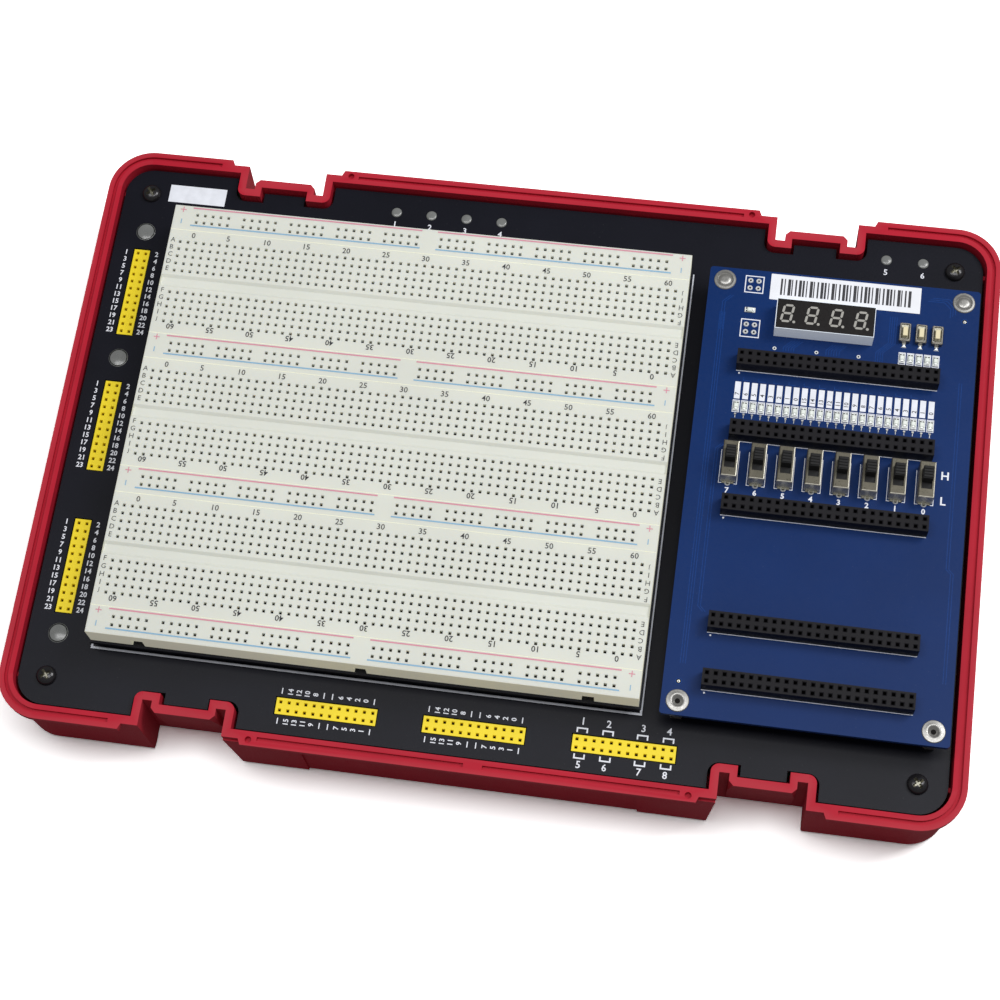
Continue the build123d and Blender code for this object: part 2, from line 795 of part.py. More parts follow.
def bus_strip(offset, notched):
    """Narrow strip with two rails, with notches on its free edge if it is the front one."""
    y = breadboard_y + offset
    with BuildPart() as strip:
        with BuildSketch(Plane.XY.offset(upper_top)):
            with Locations((breadboard_x, y)):
                Rectangle(breadboard_length, bus_strip_width)
        extrude(amount=breadboard_thickness)
        if notched:
            with BuildSketch(Plane.XY.offset(upper_top)):
                with Locations((breadboard_x, y - bus_strip_width / 2)):
                    with GridLocations(edge_notch_spacing, 0, 3, 1):
                        Rectangle(edge_notch_width, 2 * edge_notch_depth)
            extrude(amount=edge_notch_height, mode=Mode.SUBTRACT)
        chamfer(strip.edges().filter_by(Axis.X).group_by(Axis.Z)[-1], length=strip_edge_chamfer)
    return strip


terminal_strips = [terminal_strip(offset) for offset in (terminal_pitch, 0, -terminal_pitch)]
bus_offsets = [terminal_pitch * step for step in (1.5, 0.5, -0.5, -1.5)]
bus_strips = [bus_strip(offset, offset == min(bus_offsets)) for offset in bus_offsets]

# Switch and lamp board
with BuildPart() as io_board:
    with BuildSketch(Plane.XY.offset(io_bottom)):
        with Locations((io_board_x, io_board_y)):
            RectangleRounded(io_board_length, io_board_width, 1)
        with Locations(*io_posts):
            Circle(post_neck_radius + post_neck_gap, mode=Mode.SUBTRACT)
    extrude(amount=board_thickness)

# Flared posts that carry the switch and lamp board
with BuildPart() as board_posts:
    with BuildSketch(Plane.XY.offset(panel_top)):
        with Locations(*io_posts):
            RegularPolygon(radius=post_collar_radius, side_count=6)
    extrude(amount=io_spacer_height)
    for x, y in io_posts:
        flange_top = io_top + post_flange_thickness
        with BuildSketch(Plane(origin=(x, y, 0), x_dir=(1, 0, 0), z_dir=(0, -1, 0))):
            with BuildLine():
                Polyline(
                    (0, io_bottom),
                    (post_neck_radius, io_bottom),
                    (post_neck_radius, io_top),
                    (post_flange_radius, io_top),
                    (post_flange_radius - post_flange_thickness / 2, flange_top),
                    (post_bore_mouth, flange_top),
                    (post_bore_radius, flange_top - post_bore_mouth),
                    (0, flange_top - post_bore_mouth),
                    close=True,
                )
            make_face()
        revolve(axis=Axis((x, y, 0), (0, 0, 1)))

# Display module with a face that sits just inside its frame
with BuildPart() as display_module:
    with BuildSketch(Plane.XY.offset(io_top)):
        with Locations((display_x, display_y)):
            Rectangle(display_length, display_width)
    extrude(amount=display_height)
    with BuildSketch(Plane.XY.offset(io_top + display_height)):
        with Locations((display_x, display_y)):
            Rectangle(display_length - 2 * display_frame, display_width - 2 * display_frame)
    extrude(amount=-display_face_depth, mode=Mode.SUBTRACT)

with BuildPart() as display_face:
    with BuildSketch(Plane.XY.offset(io_top + display_height - display_face_depth)):
        with Locations((display_x, display_y)):
            Rectangle(display_length - 2 * display_frame, display_width - 2 * display_frame)
    extrude(amount=display_face_depth)

# Slide switches: folded shells, insulating bases and one sliding knob each
knob_slot_length = knob_length + slider_travel + 2 * knob_gap
shell_top = io_top + shell_height
shell_inner_width = shell_width - 2 * shell_sheet
shell_inner_length = shell_length - 2 * shell_sheet
with BuildPart() as switch_shells:
    with BuildSketch(Plane.XY.offset(io_top)):
        with Locations(*switch_places):
            Rectangle(shell_width, shell_length)
    extrude(amount=shell_height)
    chamfer(switch_shells.edges().group_by(Axis.Z)[-1], length=shell_sheet / 2)
    with BuildSketch(Plane.XY.offset(io_top)):
        with Locations(*switch_places):
            Rectangle(shell_inner_width, shell_inner_length)
    extrude(amount=shell_height - shell_sheet, mode=Mode.SUBTRACT)
    with BuildSketch(Plane.XY.offset(shell_top)):
        with Locations(*switch_places):
            Rectangle(knob_width + 2 * knob_gap, knob_slot_length)
    extrude(amount=-shell_height / 2, mode=Mode.SUBTRACT)

with BuildPart() as switch_bases:
    with BuildSketch(Plane.XY.offset(io_top)):
        with Locations(*switch_places):
            Rectangle(shell_inner_width, shell_inner_length)
    extrude(amount=switch_base_height)


def switch_slider(x):
    """Sliding knob on its carrier block, drawn in the high position towards the rear."""
    y = switch_y + slider_travel / 2
    block_base = io_top + switch_base_height + slider_block_gap
    block_top = shell_top - shell_sheet - slider_block_gap
    with BuildPart() as slider:
        with BuildSketch(Plane.XY.offset(block_base)):
            with Locations((x, y)):
                Rectangle(shell_inner_width - 2 * slider_block_gap, knob_slot_length + slider_travel)
        extrude(amount=block_top - block_base)
        with BuildSketch(Plane.XY.offset(block_top)):
            with Locations((x, y)):
                Rectangle(knob_width, knob_length)
        extrude(amount=shell_top + knob_rise - block_top)
        chamfer(slider.edges().group_by(Axis.Z)[-1], length=knob_chamfer)
    return slider


sliders = [switch_slider(x) for x, y in switch_places]

# Push buttons: bodies with end terminals, and a plunger in each
with BuildPart() as button_bodies:
    with BuildSketch(Plane.XY.offset(io_top)):
        with Locations(*button_places):
            Rectangle(button_width, button_length)
    extrude(amount=button_height)
    chamfer(button_bodies.edges().filter_by(Axis.Z), length=terminal_thickness)
    with BuildSketch(Plane.XY.offset(io_top)):
        with Locations(*button_places):
            Rectangle(terminal_width, button_length + 2 * terminal_reach)
    extrude(amount=terminal_thickness)
    with BuildSketch(Plane.XY.offset(io_top + button_height)):
        with Locations(*button_places):
            Rectangle(plunger_width + 2 * plunger_gap, plunger_length + 2 * plunger_gap)
    extrude(amount=-(plunger_depth + plunger_travel + plunger_gap), mode=Mode.SUBTRACT)


def button_plunger(x):
    """Cream plunger that travels straight down into its body."""
    top = io_top + button_height + plunger_rise
    with BuildPart() as plunger:
        with BuildSketch(Plane.XY.offset(io_top + button_height - plunger_depth)):
            with Locations((x, button_y)):
                Rectangle(plunger_width, plunger_length)
        extrude(amount=top - io_top - button_height + plunger_depth)
        chamfer(plunger.edges().group_by(Axis.Z)[-1], length=plunger_gap)
    return plunger


plungers = [button_plunger(x) for x, y in button_places]

# Lamps in a row that lines up with the header pins, and one row for the buttons
with BuildPart() as level_lamps:
    with BuildSketch(Plane.XY.offset(io_top)):
        with Locations(*level_lamp_places):
            Rectangle(led_width, led_length)
    extrude(amount=led_height)

with BuildPart() as button_lamps:
    with BuildSketch(Plane.XY.offset(io_top)):
        with Locations(*row_lamp_places):
            Rectangle(led_width, led_length)
    extrude(amount=led_height)

with BuildPart() as power_lamp:
    with BuildSketch(Plane.XY.offset(io_top)):
        with Locations((io_left + power_lamp_from_left, io_rear - power_lamp_from_rear)):
            Rectangle(led_length, led_width)
    extrude(amount=led_height)

with BuildPart() as blank_label:
    with BuildSketch(Plane.XY.offset(io_top)):
        with Locations((io_left + label_from_left, io_rear - label_from_rear)):
            RectangleRounded(label_length, label_width, label_thickness)
    extrude(amount=label_thickness)

pieces = {
    "case_tray": case_tray,
    "front_panel": front_panel,
    "panel_screws": panel_screws,
    "main_board": main_board,
    "main_board_screws": main_board_screws,
    "lamp_lenses": lamp_lenses,
    "round_windows": round_windows,
    "panel_lamps": panel_lamps,
    "usb_socket": usb_socket,
    "power_jack": power_jack,
    "processor": processor,
    "supply_converters": supply_converters,
    "buzzer": buzzer,
    "meter_fuses": meter_fuses,
    "link_connectors": link_connectors,
    "breadboard_carrier": breadboard_carrier,
    "carrier_spacers": carrier_spacers,
    "io_board": io_board,
    "board_posts": board_posts,
    "display_module": display_module,
    "display_face": display_face,
    "switch_shells": switch_shells,
    "switch_bases": switch_bases,
    "button_bodies": button_bodies,
    "level_lamps": level_lamps,
    "button_lamps": button_lamps,
    "power_lamp": power_lamp,
    "blank_label": blank_label,
}
pieces.update(zip(side_names + front_names, side_headers + front_headers))
pieces.update(zip(board_names, board_headers))
for index, strip in enumerate(terminal_strips):
    pieces["terminal_strip_" + str(index + 1)] = strip
for index, strip in enumerate(bus_strips):
    pieces["bus_strip_" + str(index + 1)] = strip
for index, slider in enumerate(sliders):
    pieces["slider_" + str(index)] = slider
for index, plunger in enumerate(plungers):
    pieces["plunger_" + str(index)] = plunger

for name, piece in pieces.items():
    finish(piece, name)
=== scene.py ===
# %% [markdown]
# Electronics training system: the looks.
#
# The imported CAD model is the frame. This script dresses it: it paints the solids that already
# have the right shape, and replaces the plain ones, such as the breadboard strips, with pieces
# that show every hole. Lengths on the object are in millimetres and turn into metres once, when
# a mesh is made. The camera and the lamps are placed in metres.

# %% Load the frame
import math

import bmesh
import bpy
from mathutils import Matrix, Vector


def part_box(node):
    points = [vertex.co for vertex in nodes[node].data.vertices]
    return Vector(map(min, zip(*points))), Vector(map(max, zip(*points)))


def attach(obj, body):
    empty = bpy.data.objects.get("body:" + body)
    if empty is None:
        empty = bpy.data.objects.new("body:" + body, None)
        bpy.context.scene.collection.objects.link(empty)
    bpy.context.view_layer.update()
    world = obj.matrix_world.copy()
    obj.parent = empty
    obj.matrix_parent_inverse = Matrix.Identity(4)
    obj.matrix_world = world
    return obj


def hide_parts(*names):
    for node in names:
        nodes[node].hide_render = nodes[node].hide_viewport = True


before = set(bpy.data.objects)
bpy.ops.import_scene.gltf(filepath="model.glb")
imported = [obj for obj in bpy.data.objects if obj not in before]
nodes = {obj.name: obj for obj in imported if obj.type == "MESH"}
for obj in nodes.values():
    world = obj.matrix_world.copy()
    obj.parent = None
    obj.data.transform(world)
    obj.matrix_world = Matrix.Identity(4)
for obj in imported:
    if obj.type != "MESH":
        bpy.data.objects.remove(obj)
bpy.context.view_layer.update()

scene = bpy.context.scene
MM = 0.001


def put(name, data):
    """New object in the scene."""
    made = bpy.data.objects.new(name, data)
    scene.collection.objects.link(made)
    return made


def feed(tree, node, inputs):
    """Set a node's inputs, by name or number, to values or to the sockets that they link from."""
    for slot, value in inputs.items():
        if isinstance(value, bpy.types.NodeSocket):
            tree.links.new(value, node.inputs[slot])
        else:
            node.inputs[slot].default_value = value
    return node


def add_node(tree, kind, inputs=None, **settings):
    """New node with its settings and inputs."""
    node = tree.nodes.new(kind)
    for name, value in settings.items():
        setattr(node, name, value)
    return feed(tree, node, inputs or {})


# %% [markdown]
# The camera comes first, because everything is judged through it. The photograph's hole grids
# gave its place, turn and focal length. The small shift says that the picture was cropped a
# little off centre.

# %% Camera
SENSOR, FOCAL_IN_WIDTHS = 36.0, 2.20095
camera = scene.camera = put("camera", bpy.data.cameras.new("camera"))
camera.location = (0.06303, -0.24234, 0.65895)
camera.rotation_euler = [math.radians(a) for a in (21.3139, 3.986, 8.3341)]
camera.data.sensor_width, camera.data.lens = SENSOR, SENSOR * FOCAL_IN_WIDTHS
camera.data.shift_x, camera.data.shift_y = 0.0442, -0.0220
camera.data.clip_start, camera.data.clip_end = 0.02, 100.0
print("camera", [round(c, 3) for c in camera.location])

# %% [markdown]
# Soft studio light. A broad lamp overhead gives most of it, and a sheen on the front of the black
# panel. A smaller one high at the rear right gives the shadows their side and metal its bright
# edges. The world is weak, so the tray's walls and the gaps between parts stay dark.

# %% Lights and world
def area_lamp(name, place, target, width, depth, watts):
    """A soft oblong lamp that looks at a point."""
    lamp = bpy.data.lights.new(name, "AREA")
    lamp.shape, lamp.size, lamp.size_y, lamp.energy = "RECTANGLE", width, depth, watts
    holder = put(name, lamp)
    holder.location = place
    holder.rotation_euler = (Vector(target) - Vector(place)).to_track_quat("-Z", "Y").to_euler()


area_lamp("overhead", (-0.05, -0.03, 1.3), (-0.05, -0.03, 0), 1.2, 0.4, 8.4)
area_lamp("key", (0.65, 0.35, 0.95), (0, 0, 0), 0.45, 0.45, 6.5)

world = bpy.data.worlds.new("studio")
scene.world = world
world.use_nodes = True
sky = world.node_tree.nodes["Background"]
sky.inputs["Color"].default_value = (1.0, 1.0, 1.0, 1.0)
sky.inputs["Strength"].default_value = 0.22
print("lamps", [lamp.name for lamp in bpy.data.lights])

# %% [markdown]
# The floor is plain paper. To the camera it is twice as bright as paper can be, so that it
# reaches white and still darkens near the tray. To light that bounces it is only a pale grey,
# because a white table would wash the tray's dark walls out.

# %% Floor
FLOOR_HALF, FLOOR_HEIGHT = 30.0, -0.0002
SEEN_GREY, BOUNCE_GREY = 0.99, 0.2


def paper_floor():
    """Floor material: white where it is seen, pale grey for the light that it sends back."""
    made = bpy.data.materials.new("floor")
    made.use_nodes = True
    tree = made.node_tree
    tree.nodes.clear()
    greys = [(grey, grey, grey, 1.0) for grey in (SEEN_GREY, SEEN_GREY, BOUNCE_GREY)]
    one, more, bounce = (add_node(tree, "ShaderNodeBsdfDiffuse", {"Color": c}).outputs[0] for c in greys)
    seen = add_node(tree, "ShaderNodeAddShader", {0: one, 1: more}).outputs[0]
    by_camera = add_node(tree, "ShaderNodeLightPath").outputs["Is Camera Ray"]
    choice = add_node(tree, "ShaderNodeMixShader", {0: by_camera, 1: bounce, 2: seen}).outputs[0]
    add_node(tree, "ShaderNodeOutputMaterial", {"Surface": choice})
    return made


corners = [(x * FLOOR_HALF, y * FLOOR_HALF, FLOOR_HEIGHT) for x, y in ((-1, -1), (1, -1), (1, 1), (-1, 1))]
floor_mesh = bpy.data.meshes.new("floor")
floor_mesh.from_pydata(corners, [], [(0, 1, 2, 3)])
floor_mesh.materials.append(paper_floor())
floor_piece = put("floor", floor_mesh)
scene.view_settings.view_transform = "Standard"
print("floor metres", 2 * FLOOR_HALF)

# %% [markdown]
# One recipe covers most finishes. A coarse noise shifts the colour a little, as batches, dust
# and handling do. A fine noise varies the gloss and makes the bump, which is the moulding
# texture of plastic or the weave under solder mask. Both use object coordinates, so nothing
# slides when the camera moves.

# %% Material recipe
def srgb(colour):
    """Colour as read in a picture, 0 to 255, to the linear values that shaders use."""
    return tuple(c / 255 / 12.92 if c <= 10 else ((c / 255 + 0.055) / 1.055) ** 2.4 for c in colour)


class NodeBench:
    """Short names for the few node patterns that every finish here is made of."""

    def __init__(self, material):
        material.use_nodes = True
        self.tree = material.node_tree
        self.place = add_node(self.tree, "ShaderNodeTexCoord").outputs["Object"]

    def noise(self, scale, detail):
        inputs = {"Vector": self.place, "Scale": scale, "Detail": detail}
        return add_node(self.tree, "ShaderNodeTexNoise", inputs).outputs["Fac"]

    def spread(self, source, low, high, from_low=0.3, from_high=0.7):
        inputs = {0: source, 1: from_low, 2: from_high, 3: low, 4: high}
        return add_node(self.tree, "ShaderNodeMapRange", inputs).outputs[0]

    def mix(self, factor, first, second):
        inputs = {0: factor, 6: first, 7: second}
        return add_node(self.tree, "ShaderNodeMix", inputs, data_type="RGBA").outputs[2]

    def edge_wear(self):
        """1 on worn convex edges and 0 elsewhere."""
        edges = add_node(self.tree, "ShaderNodeNewGeometry").outputs["Pointiness"]
        return self.spread(edges, 0.0, 1.0, 0.53, 0.6)


GLOSS_VARY, BUMP_DEPTH = 0.08, 0.00004
GLOW_REACH, GLOW_DEPTH = (1.0, 0.9, 0.75), 0.0025


def finish_of(name, colour, roughness=0.5, metallic=0.0, vary=0.06, patch=60.0, grain=2500.0,
              bump=0.1, coat=0.0, dust=0.0, specular=0.5, worn=0.0, glow_through=0.0, painted_glow=0.0):
    """Procedural material: shifted colour, varied gloss, fine bump, dust specks, worn edges and, where asked,
    a painted glow that lightens shaded faces.
    """
    colour = srgb(colour)
    made = bpy.data.materials.new(name)
    bench = NodeBench(made)
    blotch, fine = bench.noise(patch, 3.0), bench.noise(grain, 2.0)
    darker = (*(c * (1 - vary) for c in colour), 1.0)
    lighter = (*(min(1.0, c * (1 + vary)) for c in colour), 1.0)
    pale = (*(c + (0.6 - c) * 0.3 for c in colour), 1.0)
    tone = bench.mix(bench.spread(blotch, 0.0, 1.0), darker, lighter)
    if dust:
        specks = bench.spread(bench.noise(grain * 0.6, 1.0), 0.0, dust, 0.72, 0.82)
        tone = bench.mix(specks, tone, pale)
    if worn:
        tone = bench.mix(bench.spread(bench.edge_wear(), 0.0, worn, 0.0, 1.0), tone, pale)
    gloss = bench.spread(fine, max(0.0, roughness - GLOSS_VARY), min(1.0, roughness + GLOSS_VARY))
    dents = add_node(bench.tree, "ShaderNodeBump", {"Strength": bump, "Distance": BUMP_DEPTH, "Height": fine})
    feed(bench.tree, bench.tree.nodes["Principled BSDF"], {
        "Base Color": tone, "Roughness": gloss, "Normal": dents.outputs[0], "Metallic": metallic,
        "Specular IOR Level": specular, "Coat Weight": coat, "Coat Roughness": 0.15,
        "Subsurface Weight": glow_through, "Subsurface Radius": GLOW_REACH,
        # The emission is painted light: a glow that brightens faces standing in shade.
        "Subsurface Scale": GLOW_DEPTH, "Emission Color": (*colour, 1.0), "Emission Strength": painted_glow,
    })
    return made


# %% [markdown]
# Finishes, one for each material on the real object, and some copies that carry painted light.
# The plastics are matt with a moulded grain, the boards have a satin solder mask, and the metal
# parts are nickel or tin with uneven gloss. The ivory lets a little light through it. The
# breadboard's walls and the display's grey glow a little: painted light, which lightens them
# where they stand in shade. The switch shells' pale sides are a painted highlight, and the near
# black floors of holes, slots and gaps are painted shade.

# %% Plastics and boards
IVORY = dict(vary=0.03, patch=25.0, bump=0.12, specular=0.25)
MASK = dict(roughness=0.36, bump=0.05, dust=0.1)
red_plastic = finish_of("red_plastic", (180, 34, 52), 0.46, grain=3500.0, bump=0.2, dust=0.08,
                        specular=0.08, worn=0.1)
yellow_plastic = finish_of("yellow_plastic", (248, 222, 40), 0.45, vary=0.04, specular=0.3)
black_plastic = finish_of("black_plastic", (24, 23, 27), vary=0.12, bump=0.12, dust=0.06, specular=0.13)
ivory_plastic = finish_of("ivory_plastic", (221, 223, 214), **IVORY, glow_through=0.4)
# A paler copy of the ivory for the strips' walls, with painted light: it glows so that the walls read as lit
# where they stand in shade.
ivory_wall_painted_light = finish_of("ivory_wall_painted_light", (226, 226, 206), **IVORY, painted_glow=0.26)
cream_plastic = finish_of("cream_plastic", (226, 214, 176), 0.45, vary=0.05, bump=0.15)
black_knob = finish_of("black_knob", (8, 8, 10), 0.45, vary=0.15, specular=0.12, worn=0.1)
# The display module's grey glows with painted light, so that its sides read as lit in shade.
display_grey_painted_light = finish_of("display_grey_painted_light", (232, 240, 250), vary=0.04, bump=0.15, painted_glow=0.2)
display_black = finish_of("display_black", (32, 30, 30), 0.35, vary=0.1, bump=0.06, specular=0.15)
black_mask = finish_of("black_mask", (18, 19, 28), **MASK, vary=0.15, patch=45.0, specular=0.15)
blue_mask = finish_of("blue_mask", (10, 43, 97), **MASK, vary=0.08, patch=30.0, specular=0.13)
trace_blue = finish_of("trace_blue", (20, 58, 122), 0.3, vary=0.08, bump=0.05, specular=0.15)
green_mask = finish_of("green_mask", (28, 84, 52), 0.4, vary=0.1)
print("plastics and boards", len(bpy.data.materials))

# %% Metals, inks and lenses
nickel = finish_of("nickel", (152, 151, 148), 0.36, 0.75, vary=0.05, patch=300.0, bump=0.05)
tin = finish_of("tin", (190, 190, 186), 0.34, 1.0, vary=0.1, patch=900.0, grain=1800.0, bump=0.15)
bright_tin = finish_of("bright_tin", (226, 228, 228), 0.45, 0.3, patch=900.0, bump=0.15)
shell_metal = finish_of("shell_metal", (100, 96, 84), 0.34, 0.6, vary=0.1, patch=180.0, bump=0.06)
# A pale copy of the shell metal: a painted highlight for the shell sides that face the light.
shell_painted_highlight = finish_of("shell_painted_highlight", (206, 202, 188), 0.32, 0.5, vary=0.08, patch=300.0, bump=0.06)
dull_steel = finish_of("dull_steel", (140, 138, 126), 0.42, 1.0, vary=0.12, patch=150.0, bump=0.2)
button_metal = finish_of("button_metal", (150, 146, 138), 0.36, 1.0, vary=0.1, patch=400.0)
screw_black = finish_of("screw_black", (34, 33, 36), 0.22, 0.3, vary=0.2, patch=300.0, bump=0.05)
lens_grey = finish_of("lens_grey", (116, 118, 117), 0.25, vary=0.08, patch=400.0, coat=0.3)
window_grey = finish_of("window_grey", (112, 115, 119), patch=200.0, bump=0.15, specular=0.3)
lamp_white = finish_of("lamp_white", (232, 238, 232), 0.35, vary=0.05, patch=900.0, coat=0.2)
paper = finish_of("paper", (232, 234, 240), 0.7, vary=0.03, patch=200.0, grain=5000.0, bump=0.2)
white_ink = finish_of("white_ink", (230, 233, 242), 0.6, patch=400.0, bump=0.2)
grey_ink = finish_of("grey_ink", (62, 62, 64), 0.6, vary=0.1, patch=400.0)
dark_ink = finish_of("dark_ink", (40, 40, 46), 0.6, vary=0.1, patch=400.0)
red_ink = finish_of("red_ink", (214, 140, 158), 0.55, patch=300.0)
blue_ink = finish_of("blue_ink", (132, 176, 206), 0.55, patch=300.0)
segment_grey = finish_of("segment_grey", (158, 156, 150), vary=0.05, patch=500.0)
# Near black for the floors of holes, slots and gaps: painted shade.
painted_shade_dark = finish_of("painted_shade_dark", (20, 19, 18), 0.7, vary=0.2, specular=0.1)
print("materials", len(bpy.data.materials))

# %% [markdown]
# The solids whose shape is already right keep their mesh and get a finish. The last line prints
# what is left over for the cells below.

# %% Paint the CAD nodes
painted = {
    red_plastic: ["case_tray"],
    black_mask: ["front_panel", "breadboard_carrier"],
    green_mask: ["main_board"],
    dull_steel: ["main_board_screws", "usb_socket"],
    lamp_white: ["panel_lamps"],
    blue_mask: ["io_board"],
    nickel: ["carrier_spacers"],
    display_grey_painted_light: ["display_module"],
    display_black: ["display_face"],
    paper: ["blank_label"],
    cream_plastic: ["plunger_0", "plunger_1", "plunger_2"],
    black_plastic: ["switch_bases", "power_jack", "processor", "supply_converters", "buzzer",
                    "link_connectors"],
    tin: ["meter_fuses"],
}
for material, names in painted.items():
    for name in names:
        nodes[name].data.materials.clear()
        nodes[name].data.materials.append(material)
left_over = sorted(set(nodes) - {n for names in painted.values() for n in names})
print("to replace", left_over)

# %% [markdown]
# A kit gathers the faces of one piece in millimetres, each with its own finish. It becomes a
# mesh in metres at the very end, so its object stays at the origin, unturned and unscaled.

# %% A kit of faces for one piece
def box_of(node):
    """Lowest and highest corner of a CAD node in millimetres."""
    low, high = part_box(node)
    return low / MM, high / MM


def centre_of(node):
    """Middle of a node in plan, with its top height."""
    low, high = box_of(node)
    return (low.x + high.x) / 2, (low.y + high.y) / 2, high.z


def oblong(x0, y0, x1, y1, z):
    """Corners of a level rectangle, anticlockwise from above."""
    return [(x0, y0, z), (x1, y0, z), (x1, y1, z), (x0, y1, z)]


def centred(half_x, half_y, z):
    """Corners of a level rectangle round the origin."""
    return oblong(-half_x, -half_y, half_x, half_y, z)


def circle(radius, z, sides, x=0.0, y=0.0):
    """Corners of a level regular outline."""
    turns = [math.tau * n / sides for n in range(sides)]
    return [(x + radius * math.cos(a), y + radius * math.sin(a), z) for a in turns]


class Kit:
    """Faces in millimetres that become one piece."""

    def __init__(self):
        self.bm = bmesh.new()
        self.finishes = []

    def index(self, finish):
        if finish not in self.finishes:
            self.finishes.append(finish)
        return self.finishes.index(finish)

    def face(self, corners, finish):
        self.bm.faces.new([self.bm.verts.new(c) for c in corners]).material_index = self.index(finish)

    def shells(self, loops, finish, cap=True):
        """Walls between loops of corners, anticlockwise from above, listed from below upwards."""
        index = self.index(finish)
        rings = [[self.bm.verts.new(c) for c in loop] for loop in loops]
        for lower, upper in zip(rings, rings[1:]):
            for n in range(len(lower)):
                m = (n + 1) % len(lower)
                self.bm.faces.new((lower[n], lower[m], upper[m], upper[n])).material_index = index
        if cap:
            self.bm.faces.new(rings[-1]).material_index = index

    def slab(self, x0, y0, x1, y1, z0, z1, finish, bevel=0.0, cap=True):
        """Block with an open bottom and an optional bevel round its top."""
        loops = [oblong(x0, y0, x1, y1, z) for z in (z0, z1 - bevel)]
        if bevel:
            loops.append(oblong(x0 + bevel, y0 + bevel, x1 - bevel, y1 - bevel, z1))
        self.shells(loops, finish, cap)

    def block(self, x, y, half_x, half_y, z0, z1, finish, bevel=0.0):
        """Slab centred at a place."""
        self.slab(x - half_x, y - half_y, x + half_x, y + half_y, z0, z1, finish, bevel)

    def plate(self, outline, z0, z1, finish):
        """Thin plate with any outline, given anticlockwise."""
        self.shells([[(x, y, z) for x, y in outline] for z in (z0, z1)], finish)

    def disc(self, x, y, radius, z0, z1, finish, sides):
        """Round plate."""
        self.shells([circle(radius, z, sides, x, y) for z in (z0, z1)], finish)

    def lathe(self, profile, finish, x=0.0, y=0.0, sides=40):
        """Turned shape from (radius, height) points, from the foot up and in to the middle."""
        self.shells([circle(r, z, sides, x, y) for r, z in profile], finish)

    def add(self, mesh, x=0.0, y=0.0, z=0.0, finish=None, place=None):
        """A copy of a mesh, all in one finish or in its own."""
        copy = mesh.copy()
        copy.transform(place or Matrix.Translation((x, y, z)))
        indexes = [self.index(finish or mesh.materials[p.material_index]) for p in mesh.polygons]
        copy.materials.clear()
        copy.polygons.foreach_set("material_index", indexes)
        self.bm.from_mesh(copy)
        bpy.data.meshes.remove(copy)

    def ride(self, name, body="station", stands_for=(), crease=None):
        """Make the piece; with a crease angle it is smooth except over sharper edges."""
        mesh = bpy.data.meshes.new(name)
        self.bm.to_mesh(mesh)
        self.bm.free()
        mesh.transform(Matrix.Scale(MM, 4))
        for finish in self.finishes:
            mesh.materials.append(finish)
        mesh.polygons.foreach_set("use_smooth", [crease is not None] * len(mesh.polygons))
        if crease is not None:
            mesh.set_sharp_from_angle(angle=math.radians(crease))
        piece = put(name, mesh)
        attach(piece, body)
        if stands_for:
            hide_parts(*stands_for)
        print(name, "faces", len(mesh.polygons))

    def dress(self, node, name=None, body="station", crease=None):
        """Make the piece in place of a CAD node."""
        self.ride("dressed_" + (name or node), body, (node,), crease)


# %% [markdown]
# Print is a film of ink a few hundredths of a millimetre thick. It has walls and a top, so that
# it never fights with the surface under it. Lines have mitred corners. Figures come from
# Blender's own font, made into a mesh once for each text and then placed.

# %% Lines and figures of print
INK = 0.03


def stroke(kit, points, width, z, finish, closed=False, tall=INK):
    """Flat line of even width through points."""
    points = [Vector(p) for p in points]
    count = len(points)
    left, right = [], []
    for n, point in enumerate(points):
        before = points[n - 1] if (n or closed) else None
        after = points[(n + 1) % count] if (n < count - 1 or closed) else None
        ends = [pair for pair in ((before, point), (point, after)) if None not in pair]
        normals = [Vector((a.y - b.y, b.x - a.x)).normalized() for a, b in ends]
        side = sum(normals, Vector((0, 0))).normalized()
        reach = width / 2 / max(0.3, side.dot(normals[0]))
        left.append(point + side * reach)
        right.append(point - side * reach)
    for n in range(count if closed else count - 1):
        m = (n + 1) % count
        kit.plate([tuple(p) for p in (right[n], right[m], left[m], left[n])], z, z + tall, finish)


figure_meshes = {}


def figures(kit, text, height, x, y, z, bold=0.02, turn=0, finish=white_ink, tall=INK):
    """Centred plain figures, their height in millimetres, thickened by bold."""
    if (text, bold) not in figure_meshes:
        curve = bpy.data.curves.new("figures", "FONT")
        curve.body, curve.resolution_u, curve.extrude, curve.offset = text, 2, 0.5, bold
        holder = put("figures", curve)
        bpy.context.view_layer.update()
        mesh = bpy.data.meshes.new_from_object(holder)
        bpy.data.objects.remove(holder)
        bpy.data.curves.remove(curve)
        low, high = ([edge(v.co[axis] for v in mesh.vertices) for axis in (0, 1)] for edge in (min, max))
        mesh.transform(Matrix.Translation((-(low[0] + high[0]) / 2, -(low[1] + high[1]) / 2, 0)))
        mesh.transform(Matrix.Diagonal((1 / (high[1] - low[1]), 1 / (high[1] - low[1]), 1, 1)))
        figure_meshes[(text, bold)] = mesh
    place = (
        Matrix.Translation((x, y, z + tall / 2))
        @ Matrix.Rotation(math.radians(turn), 4, "Z")
        @ Matrix.Diagonal((height, height, tall, 1))
    )
    kit.add(figure_meshes[(text, bold)], finish=finish, place=place)


# %% [markdown]
# Holes on a grid repeat thousands of times, so a Geometry Nodes tree makes them. It starts from
# a grid with one face for each hole, pushes every face in to the mouth of a funnel, sinks it to
# the throat, and sinks it again to the bottom. The sizes are named inputs, so one tree serves
# the breadboard and every socket header.

